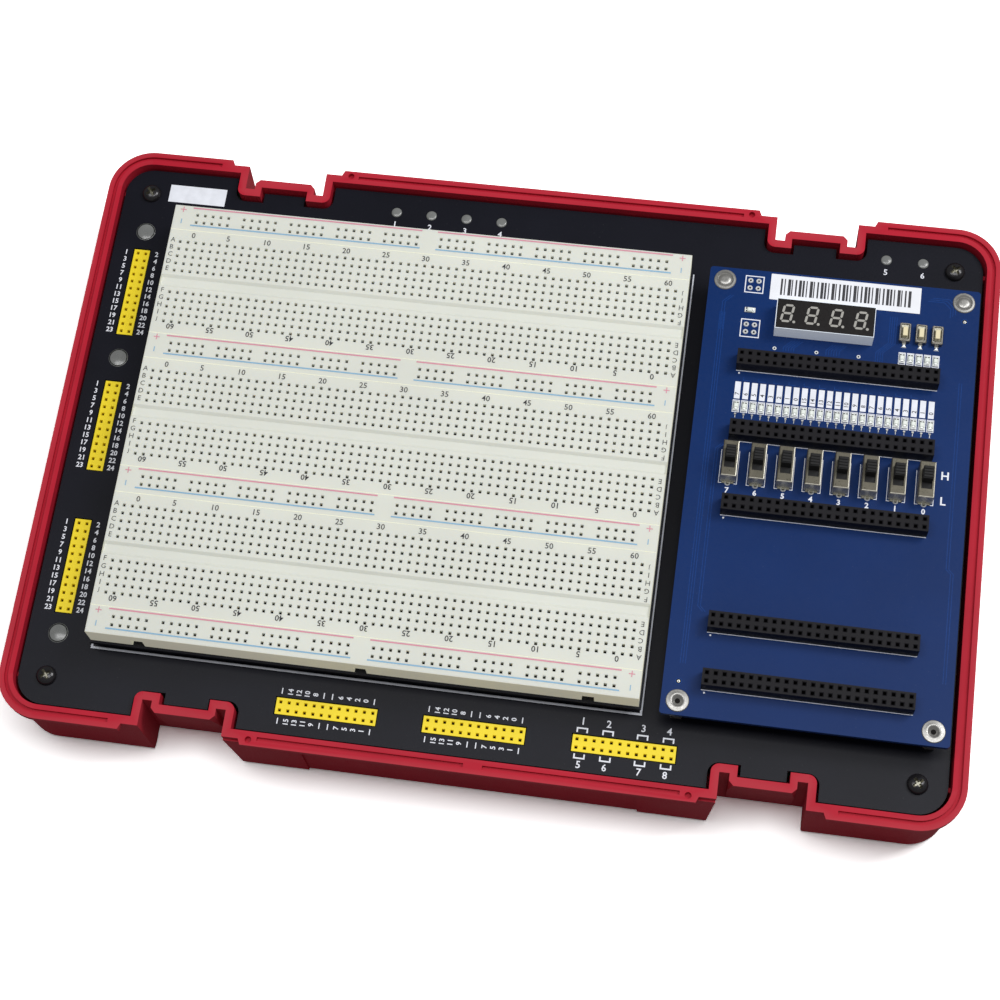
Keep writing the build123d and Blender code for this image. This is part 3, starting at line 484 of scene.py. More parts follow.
# %% Geometry Nodes: sheet of holes
def add_sockets(tree, sockets):
    """Declare a tree's inputs and its geometry output; return the group input's sockets."""
    for name, kind in sockets.items():
        tree.interface.new_socket(name=name, in_out="INPUT", socket_type="NodeSocket" + kind)
    tree.interface.new_socket(name="Geometry", in_out="OUTPUT", socket_type="NodeSocketGeometry")
    return tree.nodes.new("NodeGroupInput").outputs


def arithmetic(tree, operation, first, second):
    """Math node on two sockets or numbers."""
    return add_node(tree, "ShaderNodeMath", {0: first, 1: second}, operation=operation).outputs[0]


def end_tree(tree, shape, paints):
    """Realize the instances, set the materials and give the result."""
    shape = add_node(tree, "GeometryNodeRealizeInstances", {0: shape}).outputs[0]
    for paint in paints:
        shape = add_node(tree, "GeometryNodeSetMaterial", {"Geometry": shape, **paint}).outputs[0]
    add_node(tree, "NodeGroupOutput", {0: shape})
    return tree


def make_hole_tree():
    """Grid of blind square holes with a funnel at each mouth."""
    tree = bpy.data.node_groups.new("sheet_of_holes", "GeometryNodeTree")
    given = add_sockets(tree, {
        "Columns": "Int", "Rows": "Int", "Pitch": "Float", "Mouth": "Float", "Throat": "Float",
        "Funnel": "Float", "Depth": "Float", "Plastic": "Material", "Bottom": "Material",
    })
    sizes = {}
    for axis, count in (("X", given["Columns"]), ("Y", given["Rows"])):
        sizes[f"Size {axis}"] = arithmetic(tree, "MULTIPLY", count, given["Pitch"])
        sizes[f"Vertices {axis}"] = arithmetic(tree, "ADD", count, 1)

    def sink(shape, depth, chosen):
        down = arithmetic(tree, "MULTIPLY", depth, -1.0)
        inputs = {"Mesh": shape, "Individual": True, "Offset Scale": down, **chosen}
        node = add_node(tree, "GeometryNodeExtrudeMesh", inputs, mode="FACES")
        return node.outputs["Mesh"], {"Selection": node.outputs["Top"]}

    def shrink(shape, size, whole, chosen):
        inputs = {"Geometry": shape, "Scale": arithmetic(tree, "DIVIDE", size, whole), **chosen}
        return add_node(tree, "GeometryNodeScaleElements", inputs, domain="FACE").outputs["Geometry"]

    shape = add_node(tree, "GeometryNodeMeshGrid", sizes).outputs["Mesh"]
    shape, chosen = sink(shape, 0.0, {})
    shape = shrink(shape, given["Mouth"], given["Pitch"], chosen)
    shape, chosen = sink(shape, given["Funnel"], chosen)
    shape = shrink(shape, given["Throat"], given["Mouth"], chosen)
    shape, chosen = sink(shape, given["Depth"], chosen)
    # Each hole's bottom gets the dark finish given as Bottom: painted shade for the dark inside a deep hole.
    return end_tree(tree, shape, [{"Material": given["Plastic"]}, {"Material": given["Bottom"], **chosen}])


def run_tree(tree, values):
    """Evaluate a tree with the named inputs and give the result as a plain mesh."""
    holder = put("holder", bpy.data.meshes.new("holder"))
    modifier = holder.modifiers.new("nodes", "NODES")
    modifier.node_group = tree
    for item in tree.interface.items_tree:
        if item.item_type == "SOCKET" and item.in_out == "INPUT" and item.name in values:
            modifier[item.identifier] = values[item.name]
    graph = bpy.context.evaluated_depsgraph_get()
    mesh = bpy.data.meshes.new_from_object(holder.evaluated_get(graph))
    holder.modifiers.clear()
    bpy.data.objects.remove(holder)
    if mesh.materials and mesh.materials[0] is None:
        mesh.materials.pop(index=0)
    return mesh


hole_tree = make_hole_tree()
PITCH, FUNNEL = 2.54, 0.15
# Mouth, throat and depth of a hole
YELLOW_HOLE, BLACK_HOLE, BREADBOARD_HOLE = (1.1, 0.85, 1.3), (1.45, 0.95, 3.2), (1.05, 0.85, 1.1)


def holes(columns, rows, sizes, plastic):
    """Sheet of holes in millimetres, centred on the origin at height 0."""
    mouth, throat, depth = sizes
    return run_tree(hole_tree, {
        "Columns": columns, "Rows": rows, "Pitch": PITCH, "Mouth": mouth, "Throat": throat,
        "Funnel": FUNNEL, "Depth": depth, "Plastic": plastic, "Bottom": painted_shade_dark,
    })


print("nodes in the tree of holes", len(hole_tree.nodes))

# %% [markdown]
# Small parts repeat too: lamps, switches, screws and pads. A second tree puts one part on every
# point of a grid. A part with several finishes goes through it once for each of them, because
# the tree sets one material.

# %% Geometry Nodes: parts on a grid
def make_grid_tree():
    """One part on every point of a grid."""
    tree = bpy.data.node_groups.new("parts_on_a_grid", "GeometryNodeTree")
    given = add_sockets(tree, {
        "Part": "Object", "Columns": "Int", "Rows": "Int", "Step X": "Float", "Step Y": "Float",
        "Finish": "Material",
    })
    sizes = {}
    for axis, count in (("X", given["Columns"]), ("Y", given["Rows"])):
        gaps = arithmetic(tree, "SUBTRACT", count, 1)
        sizes[f"Size {axis}"] = arithmetic(tree, "MULTIPLY", gaps, given[f"Step {axis}"])
        sizes[f"Vertices {axis}"] = count
    points = add_node(tree, "GeometryNodeMeshGrid", sizes).outputs["Mesh"]
    part = add_node(tree, "GeometryNodeObjectInfo", {"Object": given["Part"]}).outputs["Geometry"]
    copies = add_node(tree, "GeometryNodeInstanceOnPoints", {"Points": points, "Instance": part})
    return end_tree(tree, copies.outputs[0], [{"Material": given["Finish"]}])


grid_tree = make_grid_tree()


def repeat(kit, part, x, y, z=0.0, columns=1, step_x=0.0, rows=1, step_y=0.0):
    """Add a kit of faces on every point of a grid centred at a place, and use the part up."""
    for number, finish in enumerate(part.finishes):
        alone = part.bm.copy()
        others = [f for f in alone.faces if f.material_index != number]
        bmesh.ops.delete(alone, geom=others, context="FACES")
        mesh = bpy.data.meshes.new("part")
        alone.to_mesh(mesh)
        alone.free()
        mesh.materials.append(finish)
        mesh.polygons.foreach_set("material_index", [0] * len(mesh.polygons))
        holder = put("part", mesh)
        copies = run_tree(grid_tree, {
            "Part": holder, "Columns": columns, "Rows": rows, "Step X": step_x, "Step Y": step_y,
            "Finish": finish,
        })
        kit.add(copies, x, y, z, finish)
        bpy.data.objects.remove(holder)
        bpy.data.meshes.remove(copies)
    part.bm.free()


# %% [markdown]
# A socket header is one moulded block. The tree makes its top, and four walls close it. It keeps
# the place and size of its CAD node. Yellow ones sit in the panel, black ones on the blue board.

# %% Socket headers
def header_piece(node, plastic, sizes):
    """Header with real holes in place of a CAD node."""
    low, high = box_of(node)
    columns, rows = (round((high[axis] - low[axis]) / PITCH) for axis in (0, 1))
    kit = Kit()
    kit.add(holes(columns, rows, sizes, plastic), *centre_of(node))
    kit.slab(low.x, low.y, high.x, high.y, low.z, high.z, plastic, cap=False)
    kit.dress(node)


SIDE_HEADERS = ["supply_header", "control_header", "analogue_header"]
FRONT_HEADERS = ["input_header", "output_header", "meter_header"]
BOARD_HEADERS = [f"board_header_{n}" for n in range(1, 6)]
for node in SIDE_HEADERS + FRONT_HEADERS:
    header_piece(node, yellow_plastic, YELLOW_HOLE)
for node in BOARD_HEADERS:
    header_piece(node, black_plastic, BLACK_HOLE)

# %% [markdown]
# The breadboard. Its three wide strips have two fields of 63 by 5 holes beside a shallow centre
# channel, and its four narrow strips have two rails of ten groups of five. The free edge of the
# front strip has three notches for joining boards, where the solid has them.

# %% Breadboard strips
COLUMNS, FIELD_ROWS, RAIL_COLUMNS, RAIL_ROWS = 63, 5, 5, 2
field = holes(COLUMNS, FIELD_ROWS, BREADBOARD_HOLE, ivory_plastic)
rail_group = holes(RAIL_COLUMNS, RAIL_ROWS, BREADBOARD_HOLE, ivory_plastic)
FIELD_Y = 3.5 * PITCH
FIELD_HALF = FIELD_ROWS * PITCH / 2
RAIL_STARTS = (1, 7, 13, 19, 25, 32, 38, 44, 50, 56)
CHANNEL_TOP, CHANNEL_FLOOR, CHANNEL_DEPTH = 4.4, 2.6, 0.7
STRIP_BEVEL = 0.08
NOTCH_SPACING, NOTCH_WIDTH, NOTCH_HEIGHT, NOTCH_DEPTH = 67.6, 3.7, 4.4, 1.6


def flat(kit, x0, x1, y0, y1, z):
    """Level rectangle of the breadboard's top."""
    kit.face(oblong(x0, y0, x1, y1, z), ivory_plastic)


def strip_sides(kit, low, high, notches=()):
    """Walls with a fine bevel round the top, and notches in the front wall where asked for."""
    bevel, front, back = STRIP_BEVEL, low.y, low.y + NOTCH_DEPTH
    above = low.z + NOTCH_HEIGHT if notches else low.z
    x0, y0, x1, y1 = low.x + bevel, low.y + bevel, high.x - bevel, high.y - bevel
    walls = [oblong(low.x, low.y, high.x, high.y, z) for z in (above, high.z - bevel)]
    # The walls and bevel take the pale ivory copy with painted light, so that they read as lit in shade.
    kit.shells([*walls, oblong(x0, y0, x1, y1, high.z)], ivory_wall_painted_light, cap=False)
    if notches:
        outline = [(low.x, front)]
        for x in notches:
            a, b = x - NOTCH_WIDTH / 2, x + NOTCH_WIDTH / 2
            outline += [(a, front), (a, back), (b, back), (b, front)]
            kit.face([(a, back, above), (b, back, above), (b, front, above), (a, front, above)], ivory_wall_painted_light)
        outline += [(high.x, front), (high.x, high.y), (low.x, high.y)]
        kit.shells([[(x, y, z) for x, y in outline] for z in (low.z, above)], ivory_wall_painted_light, cap=False)
    return x0, y0, x1, y1


def terminal_strip(node):
    """Wide strip with its two fields of holes and its centre channel."""
    x, y, z = centre_of(node)
    kit = Kit()
    x0, y0, x1, y1 = strip_sides(kit, *box_of(node))
    side = COLUMNS * PITCH / 2
    deep = z - CHANNEL_DEPTH
    for up, outer in ((-1, y0), (1, y1)):
        kit.add(field, x, y + up * FIELD_Y, z)
        near, far = y + up * (FIELD_Y - FIELD_HALF), y + up * (FIELD_Y + FIELD_HALF)
        rim, foot = y + up * CHANNEL_TOP / 2, y + up * CHANNEL_FLOOR / 2
        for left, right, start, end in ((x0, x - side, rim, outer), (x + side, x1, rim, outer),
                                        (x - side, x + side, rim, near), (x - side, x + side, far, outer)):
            flat(kit, left, right, min(start, end), max(start, end), z)
        slope = [(x0, rim, z), (x0, foot, deep), (x1, foot, deep), (x1, rim, z)]
        kit.face(slope if up > 0 else slope[::-1], ivory_plastic)
    flat(kit, x0, x1, y - CHANNEL_FLOOR / 2, y + CHANNEL_FLOOR / 2, deep)
    kit.dress(node)


def bus_strip(node, notched):
    """Narrow strip with two rails of ten groups of five holes."""
    x, y, z = centre_of(node)
    kit = Kit()
    notches = [x + step * NOTCH_SPACING for step in (-1, 0, 1)] if notched else ()
    x0, y0, x1, y1 = strip_sides(kit, *box_of(node), notches)
    flat(kit, x0, x1, y0, y - PITCH, z)
    flat(kit, x0, x1, y + PITCH, y1, z)
    first = x - (COLUMNS - 1) / 2 * PITCH
    half = RAIL_COLUMNS / 2
    edge = x0
    for start in RAIL_STARTS:
        centre = first + (start + half) * PITCH
        kit.add(rail_group, centre, y, z)
        flat(kit, edge, centre - half * PITCH, y - PITCH, y + PITCH, z)
        edge = centre + half * PITCH
    flat(kit, edge, x1, y - PITCH, y + PITCH, z)
    kit.dress(node)


TERMINALS = [f"terminal_strip_{n}" for n in (1, 2, 3)]
RAILS = [f"bus_strip_{n}" for n in (1, 2, 3, 4)]
for node in TERMINALS:
    terminal_strip(node)
for node in RAILS:
    bus_strip(node, notched=node == RAILS[-1])
print("holes in a wide strip", 2 * COLUMNS * FIELD_ROWS, "in a narrow one", 10 * len(RAIL_STARTS))

# %% [markdown]
# Print on the breadboard: plain row letters and column numbers, a red and a blue line along each
# pair of rails, and a plus and a minus at their ends. A wide strip's print is the same seen from
# either end, so it is laid out once and turned by half a turn. The turned numbers are bolder.

# %% Breadboard print
LETTER_X, LETTER_SIZE, LETTER_LIFT = 81.05, 1.55, 0.5
NUMBER_START, NUMBER_SIZE, ZERO_NUDGE = -76.15, 1.85, 1.4
kit = Kit()
for node in TERMINALS:
    cx, cy, z = centre_of(node)
    for turn, flip, row_y, bold, ink in ((0, 1, 16.45, 0.008, grey_ink), (180, -1, -15.65, 0.012, dark_ink)):
        for n, letter in enumerate("ABCDEFGHIJ"):
            row = (4.5 - n) * PITCH + (PITCH if n < 5 else -PITCH) + LETTER_LIFT
            figures(kit, letter, LETTER_SIZE, cx - flip * LETTER_X, cy + flip * row, z, 0.0, turn, grey_ink)
        for number in range(0, 61, 5):
            x = NUMBER_START + number * PITCH + (0.0 if number else ZERO_NUDGE)
            figures(kit, str(number), NUMBER_SIZE, cx + flip * x, cy + row_y, z, bold, turn, ink)
kit.ride("breadboard_numbers")

RAIL_END, RAIL_GAP, RED_Y, BLUE_Y, RAIL_HALF = 76.6, 2.5, 3.65, -2.5, 0.22
SIGN_X, PLUS_Y, MINUS_Y, PLUS_ARM, MINUS_ARM, SIGN_HALF = 79.7, 2.9, -1.3, 0.95, 0.85, 0.14
kit = Kit()
for node in RAILS:
    cx, cy, z = centre_of(node)
    for ink, y in ((red_ink, cy + RED_Y), (blue_ink, cy + BLUE_Y)):
        for x0, x1 in ((cx - RAIL_END, cx - RAIL_GAP), (cx + RAIL_GAP, cx + RAIL_END)):
            kit.slab(x0, y - RAIL_HALF, x1, y + RAIL_HALF, z, z + INK, ink)
    for x in (cx - SIGN_X, cx + SIGN_X):
        for y, half_x, half_y, tall, ink in ((cy + PLUS_Y, PLUS_ARM, SIGN_HALF, INK, red_ink),
                                             (cy + PLUS_Y, SIGN_HALF, PLUS_ARM, 1.3 * INK, red_ink),
                                             (cy + MINUS_Y, SIGN_HALF, MINUS_ARM, INK, blue_ink)):
            kit.block(x, y, half_x, half_y, z, z + tall, ink)
kit.ride("rail_lines")

# %% [markdown]
# White print on the black panel: the frame round the breadboard, plain numbers beside the
# headers and under the lamps, brackets at the measuring header, and a bare plate in the corner.

# %% Panel print
panel_z = box_of("front_panel")[1].z
FRAME, FRAME_WIDTH = (-118.1, -72.0, 48.8, 72.6), 0.7
PLATE = (-124.25, 80.6, -105.4, 86.8)
PIN_SIZE, SIDE_PIN_SIZE, BRACKET_SIZE, LAMP_NUMBER_SIZE, DASH_HALF = 1.6, 1.7, 2.2, 2.0, 0.16


def frame_line(kit, x0, y0, x1, y1, width, z):
    """White oblong of lines."""
    stroke(kit, [(x0, y0), (x1, y0), (x1, y1), (x0, y1)], width, z, white_ink, closed=True)


kit = Kit()
frame_line(kit, *FRAME, FRAME_WIDTH, panel_z)
kit.slab(*PLATE, panel_z, panel_z + INK, white_ink)
for node in ("input_header", "output_header"):
    low, high = box_of(node)
    for n, even in enumerate((None, 14, 12, 10, 8, None, None, 6, 4, 2, 0, None)):
        x = low.x + (n + 0.5) * PITCH
        for odd, y in ((0, high.y + 2.1), (1, low.y - 2.1)):
            if even is None:
                kit.block(x, y, DASH_HALF, 0.9, panel_z, panel_z + INK, white_ink)
            else:
                figures(kit, str(even + odd), PIN_SIZE, x, y, panel_z, turn=90)
low, high = box_of("meter_header")
for count, n in enumerate((0, 3, 7, 10)):
    x0, x1 = low.x + (n + 0.5) * PITCH - 0.2, low.x + (n + 1.5) * PITCH + 0.2
    for near, far, beyond, text in ((high.y + 0.7, high.y + 2.0, high.y + 4.2, count + 1),
                                    (low.y - 0.7, low.y - 2.0, low.y - 3.9, count + 5)):
        stroke(kit, [(x0, near), (x0, far), (x1, far), (x1, near)], 0.45, panel_z, white_ink)
        figures(kit, str(text), BRACKET_SIZE, (x0 + x1) / 2, beyond, panel_z, 0.015)
for node in SIDE_HEADERS:
    low, high = box_of(node)
    for n in range(12):
        for x, pin in ((low.x - 2.5, 2 * n + 1), (high.x + 2.5, 2 * n + 2)):
            figures(kit, str(pin), SIDE_PIN_SIZE, x, high.y - (n + 0.5) * PITCH, panel_z)
LAMP_Y, SUPPLY_LAMP_X, SUPPLY_LAMP_STEP, INLET_LAMP_XS = 84.7, -48.7, 11.45, [108.6, 120.1]
lamp_xs = [SUPPLY_LAMP_X + n * SUPPLY_LAMP_STEP for n in range(4)] + INLET_LAMP_XS
for n, x in enumerate(lamp_xs):
    figures(kit, str(n + 1), LAMP_NUMBER_SIZE, x, LAMP_Y - 4.3, panel_z, 0.015)
kit.ride("panel_print")

# %% [markdown]
# The panel's screws have round black heads with a crossed recess. One head is turned on a lathe
# and cut with a cross that narrows downwards. The grid tree then puts it at the four corners.

# %% Panel screws
HEAD_RADIUS, HEAD_HEIGHT, HEAD_WALL = 3.1, 2.2, 0.3
SHANK_RADIUS, SHANK_DEPTH, HEAD_SIDES = 1.5, -3.0, 40
CROSS_REACH, CROSS_WIDE, CROSS_DEPTH, CROSS_FOOT, CROSS_TURN = 2.1, 0.55, 1.7, 0.45, 38


def cross_cutter(top):
    """Cross with arms that slope in towards its foot."""
    cutter = Kit()
    for half_x, half_y in ((CROSS_WIDE, CROSS_REACH), (CROSS_REACH, CROSS_WIDE)):
        foot = centred(half_x * CROSS_FOOT, half_y * CROSS_FOOT, top - CROSS_DEPTH)
        arms = [centred(half_x, half_y, z) for z in (top + 0.01, top + 1.0)]
        cutter.shells([foot, *arms], dull_steel)
        cutter.face(foot[::-1], dull_steel)
    return cutter


def solid_object(kit):
    mesh = bpy.data.meshes.new("solid")
    bmesh.ops.remove_doubles(kit.bm, verts=kit.bm.verts, dist=0.0001)
    kit.bm.to_mesh(mesh)
    kit.bm.free()
    for finish in kit.finishes:
        mesh.materials.append(finish)
    return put("solid", mesh)


low, high = box_of("panel_screws")
head = Kit()
arc = [math.radians(a) for a in (8, 22, 38, 55, 72, 84)]
dome = [(HEAD_RADIUS * math.cos(a), HEAD_WALL + (HEAD_HEIGHT - HEAD_WALL) * math.sin(a) ** 0.8) for a in arc]
head.lathe([(SHANK_RADIUS, SHANK_DEPTH), (SHANK_RADIUS, 0.0), (HEAD_RADIUS, 0.0), (HEAD_RADIUS, 0.35)] + dome,
           screw_black, sides=HEAD_SIDES)
head.face([(x, -y, z) for x, y, z in circle(SHANK_RADIUS, SHANK_DEPTH, HEAD_SIDES)], screw_black)
head_object = solid_object(head)
cutter_object = solid_object(cross_cutter(HEAD_HEIGHT + 0.3))
cutter_object.rotation_euler = (0, 0, math.radians(CROSS_TURN))
cut = head_object.modifiers.new("recess", "BOOLEAN")
cut.operation, cut.solver, cut.object = "DIFFERENCE", "EXACT", cutter_object
cut.use_self, cut.material_mode = True, "TRANSFER"
bpy.context.view_layer.update()
cut_mesh = bpy.data.meshes.new_from_object(head_object.evaluated_get(bpy.context.evaluated_depsgraph_get()))
for holder in (head_object, cutter_object):
    bpy.data.objects.remove(holder)
part = Kit()
part.add(cut_mesh)
screws = Kit()
repeat(screws, part, (low.x + high.x) / 2, (low.y + high.y) / 2, panel_z,
       2, high.x - low.x - 2 * HEAD_RADIUS, 2, high.y - low.y - 2 * HEAD_RADIUS)
screws.dress("panel_screws", crease=35)

# %% [markdown]
# Lamp lenses are the ends of light pipes, a little domed and polished. The three larger windows
# are flatter, with a paler moulded rim. Both are turned shapes that fill the panel's holes.

# %% Lenses and windows
LENS_RADIUS, LENS_RISE = 1.7, 0.45
lens_foot, lens_edge = box_of("lamp_lenses")[0].z, panel_z - 0.1
bulge = [(LENS_RADIUS * math.cos(a), lens_edge + LENS_RISE * math.sin(a))
         for a in (math.radians(degrees) for degrees in (15, 30, 45, 60, 75, 85))]
kit = Kit()
for x in lamp_xs:
    kit.lathe([(LENS_RADIUS, lens_foot), (LENS_RADIUS, lens_edge)] + bulge, lens_grey, x, LAMP_Y, 28)
kit.dress("lamp_lenses", crease=40)

window_low, window_high = box_of("round_windows")
window_x = (window_low.x + window_high.x) / 2
WINDOW_RADIUS, WINDOW_YS = 3.1, (68.84, 23.5, -68.84)
window_rim = [(WINDOW_RADIUS, window_low.z), (WINDOW_RADIUS, panel_z - 0.1), (WINDOW_RADIUS - 0.15, panel_z)]
window_dish = [(WINDOW_RADIUS - 0.15, panel_z), (WINDOW_RADIUS - 0.45, panel_z),
               (WINDOW_RADIUS - 0.6, panel_z - 0.2), (1.2, panel_z - 0.35), (0.1, panel_z - 0.38)]
kit = Kit()
for y in WINDOW_YS:
    kit.lathe(window_rim, lens_grey, window_x, y)
    kit.lathe(window_dish, window_grey, window_x, y)
kit.dress("round_windows", "windows", crease=40)

# %% [markdown]
# White print on the blue board: a thin line in front of each header with a dot at its first pin,
# boxes round the pads, cells and bars at the small lamps, brackets round the switches, and H and
# L for the high and low ends of the switches' travel. The bars and switches carry plain numbers.

# %% Blue board print
board_z = box_of("io_board")[1].z
LAMP_COUNT, LEVEL_X, LEVEL_Y = 24, 66.55, 24.8
BUTTON_LAMP_COUNT, BUTTON_LAMP_X, BUTTON_LAMP_Y = 5, 114.95, 46.25
SWITCH_COUNT, SWITCH_X, SWITCH_STEP, SWITCH_Y = 8, 66.5, 8.32, 5.6
BAR_HALF, BAR_FRONT, BAR_REAR = 0.87, 27.35, 33.0
BRACKET_HALF, BRACKET_FRONT, FINE_LINE = 2.7, -0.55, 0.22
PAD_BOXES = [(65.4, 63.5, 70.95, 69.1), (65.4, 48.3, 71.05, 54.2)]
level_middle = LEVEL_X + (LAMP_COUNT - 1) * PITCH / 2
switch_middle = SWITCH_X + (SWITCH_COUNT - 1) * SWITCH_STEP / 2
kit = Kit()
for node in BOARD_HEADERS:
    low, high = box_of(node)
    y, half = low.y - 0.2, FINE_LINE / 2
    kit.slab(low.x + 0.1, y - half, high.x - 0.1, y + half, board_z, board_z + INK, white_ink)
    if node != "board_header_2":
        kit.disc(LEVEL_X - 0.15, y - 0.8, 0.3, board_z, board_z + INK, white_ink, 10)
for pad_box in PAD_BOXES:
    frame_line(kit, *pad_box, 0.32, board_z)
cells = [(LEVEL_X - 0.05 + n * PITCH, LEVEL_Y + 0.05) for n in range(LAMP_COUNT)]
cells += [(BUTTON_LAMP_X + n * PITCH, BUTTON_LAMP_Y) for n in range(BUTTON_LAMP_COUNT)]
for x, y in cells:
    frame_line(kit, x - 0.97, y - 1.9, x + 0.97, y + 1.95, FINE_LINE, board_z)
for (x, _), number in zip(cells, (*range(7, -1, -1), *range(15, -1, -1))):
    kit.slab(x - BAR_HALF, BAR_FRONT, x + BAR_HALF, BAR_REAR, board_z, board_z + INK, white_ink)
    figures(kit, str(number), 1.35, x, 29.0, board_z + INK, 0.01, 90, dark_ink, tall=0.02)
for n in range(SWITCH_COUNT):
    x = SWITCH_X + n * SWITCH_STEP
    left, right, rear = x - BRACKET_HALF, x + BRACKET_HALF, SWITCH_Y + 4.6
    stroke(kit, [(left, rear), (left, BRACKET_FRONT), (right, BRACKET_FRONT), (right, rear)],
           FINE_LINE, board_z, white_ink)
    figures(kit, str(SWITCH_COUNT - 1 - n), 1.8, x, -2.75, board_z, 0.03)
figures(kit, "H", 2.6, 130.4, 9.3, board_z)
figures(kit, "L", 2.6, 130.3, 1.2, board_z)
kit.ride("board_print")

# %% [markdown]
# Under the blue mask the copper traces show as faint lighter lines: a very thin layer, in
# bundles with 45 degree corners, as a board router lays them.

# %% Copper traces
TRACE, TRACE_TALL = 0.22, 0.012
kit = Kit()


def bundle(start, turns, count, step):
    """Parallel traces through points, each one moved a step further across."""
    for n in range(count):
        points = [(x + n * step[0], y + n * step[1]) for x, y in [start] + turns]
        stroke(kit, points, TRACE, board_z, trace_blue, tall=TRACE_TALL)


bundle((58.6, 56.0), [(58.6, -58.0)], 3, (0.75, 0))
bundle((61.4, 62.0), [(59.0, 59.6), (59.0, 50.0)], 2, (0.8, 0))
bundle((107.0, 44.0), [(107.0, 47.5), (110.5, 51.0), (110.5, 60.0)], 4, (0.7, 0))
bundle((128.5, 61.5), [(128.5, 64.5), (126.5, 66.5), (121.5, 66.5)], 3, (0.75, 0.6))
bundle((92.0, 44.8), [(92.0, 46.5), (94.0, 48.5)], 6, (0.8, 0))
bundle((79.0, 44.8), [(79.0, 46.0), (81.5, 48.5)], 5, (0.8, 0))
bundle((68.0, 34.6), [(68.0, 33.6), (70.0, 33.6)], 12, (4.6, 0))
bundle((132.6, 40.0), [(132.6, -20.0), (134.0, -21.4), (134.0, -55.0)], 2, (0.8, 0))
bundle((63.4, 12.0), [(61.8, 10.4), (61.8, -40.0), (63.4, -41.6)], 2, (0.8, 0))
kit.ride("copper_traces")

# %% [markdown]
# Bare tinned copper: pads in fours inside the printed boxes, rings of plated holes, test points
# and the lugs at the ends of the slide switches. A ring is turned on a lathe, and the grid tree
# repeats it.

# %% Tinned pads and rings
def ring(outer, inner, tall, finish, sides=20):
    """Rounded tinned ring round a hole whose floor is painted dark, as shade."""
    part = Kit()
    middle, lift = (outer + inner) / 2, tall * 0.85
    part.lathe([(outer, 0.0), (outer - 0.05, lift * 0.7), (middle, tall), (inner + 0.05, lift * 0.7),
                (inner, 0.01)], finish, sides=sides)
    # The flat middle over the hole is painted shade.
    for face in part.bm.faces:
        if len(face.verts) > 4:
            face.material_index = part.index(painted_shade_dark)
    return part


TEST_POINTS = ((132.95, 60.65), (58.73, -63.55))
kit = Kit()
for x0, y0, x1, y1 in PAD_BOXES:
    repeat(kit, ring(0.85, 0.3, 0.3, bright_tin), (x0 + x1) / 2, (y0 + y1) / 2, board_z, 2, PITCH, 2, PITCH)
repeat(kit, ring(0.62, 0.28, 0.12, bright_tin, 14), 89.1, 45.35, board_z, 3, 12.8)
for x, y in TEST_POINTS:
    repeat(kit, ring(1.0, 0.75, 0.06, trace_blue), x, y, board_z)
    repeat(kit, ring(0.55, 0.1, 0.1, tin), x, y, board_z)
for y in (-0.5, SWITCH_Y + 6.1):
    repeat(kit, ring(0.9, 0.45, 0.45, bright_tin), switch_middle, y, board_z, SWITCH_COUNT, SWITCH_STEP)
kit.ride("tinned_rings", crease=50)

# %% [markdown]
# A small lamp is a white chip: a flat base with tinned ends, a lens in the middle, a dark gap
# beside the lens, which is painted shade, and a bright mark at the end that faces the header.
# Thirty of them repeat, so the shape has few faces.

# %% Chip lamps
CHIP_WIDTH, CHIP_LENGTH = 1.6, 3.2


def chip_lamp():
    """One chip lamp, its length along Y, centred on the origin."""
    part = Kit()
    w, h = CHIP_WIDTH / 2, CHIP_LENGTH / 2
    part.slab(-w, -h, w, h, 0.0, 0.4, lamp_white, bevel=0.06)
    part.slab(-w * 0.9, -0.75, w * 0.9, 0.85, 0.4, 0.95, lamp_white, bevel=0.3)
    part.slab(-w - 0.03, h - 0.42, w + 0.03, h + 0.05, 0.0, 0.46, bright_tin, bevel=0.1)
    part.slab(-w - 0.03, -h - 0.05, w + 0.03, -h + 0.35, 0.0, 0.46, bright_tin, bevel=0.1)
    for x in (-0.42, 0.42):
        # Painted shade in the gaps beside the lens.
        part.slab(x - 0.28, 0.88, x + 0.28, 1.25, 0.38, 0.44, painted_shade_dark)
        part.slab(x * 1.75 - 0.06, -0.9, x * 1.75 + 0.06, 0.88, 0.38, 0.44, dull_steel)
    part.shells([[(-0.6, -1.3, 0.4), (0.6, -1.3, 0.4), (0.0, -0.6, 0.4)],
                 [(-0.5, -1.2, 0.85), (0.5, -1.2, 0.85), (0.0, -0.65, 0.98)]], bright_tin)
    return part


kit = Kit()
repeat(kit, chip_lamp(), level_middle, LEVEL_Y, board_z, LAMP_COUNT, PITCH)
kit.dress("level_lamps")
kit = Kit()
repeat(kit, chip_lamp(), BUTTON_LAMP_X + 2 * PITCH, BUTTON_LAMP_Y, board_z, BUTTON_LAMP_COUNT, PITCH)
kit.dress("button_lamps")
kit = Kit()
turned = chip_lamp()
bmesh.ops.rotate(turned.bm, verts=turned.bm.verts, matrix=Matrix.Rotation(math.pi / 2, 3, "Z"))
repeat(kit, turned, *centre_of("power_lamp")[:2], board_z)
kit.dress("power_lamp")

# Solder feet that show in front of the row of lamps, and grey contact tabs at the switches
kit = Kit()
foot = Kit()
foot.slab(-0.35, -0.3, 0.35, 0.3, 0.0, 0.12, tin, bevel=0.05)
foot.slab(-0.11, -1.3, 0.11, -0.3, 0.0, 0.06, tin)
repeat(kit, foot, level_middle, 22.3, board_z, LAMP_COUNT, PITCH)
tab = Kit()
tab.slab(-1.8, -0.5, 1.8, 0.35, 0.0, 0.35, dull_steel, bevel=0.08)
repeat(kit, tab, switch_middle, SWITCH_Y - 5.8, board_z, SWITCH_COUNT, SWITCH_STEP)
kit.ride("solder_feet")

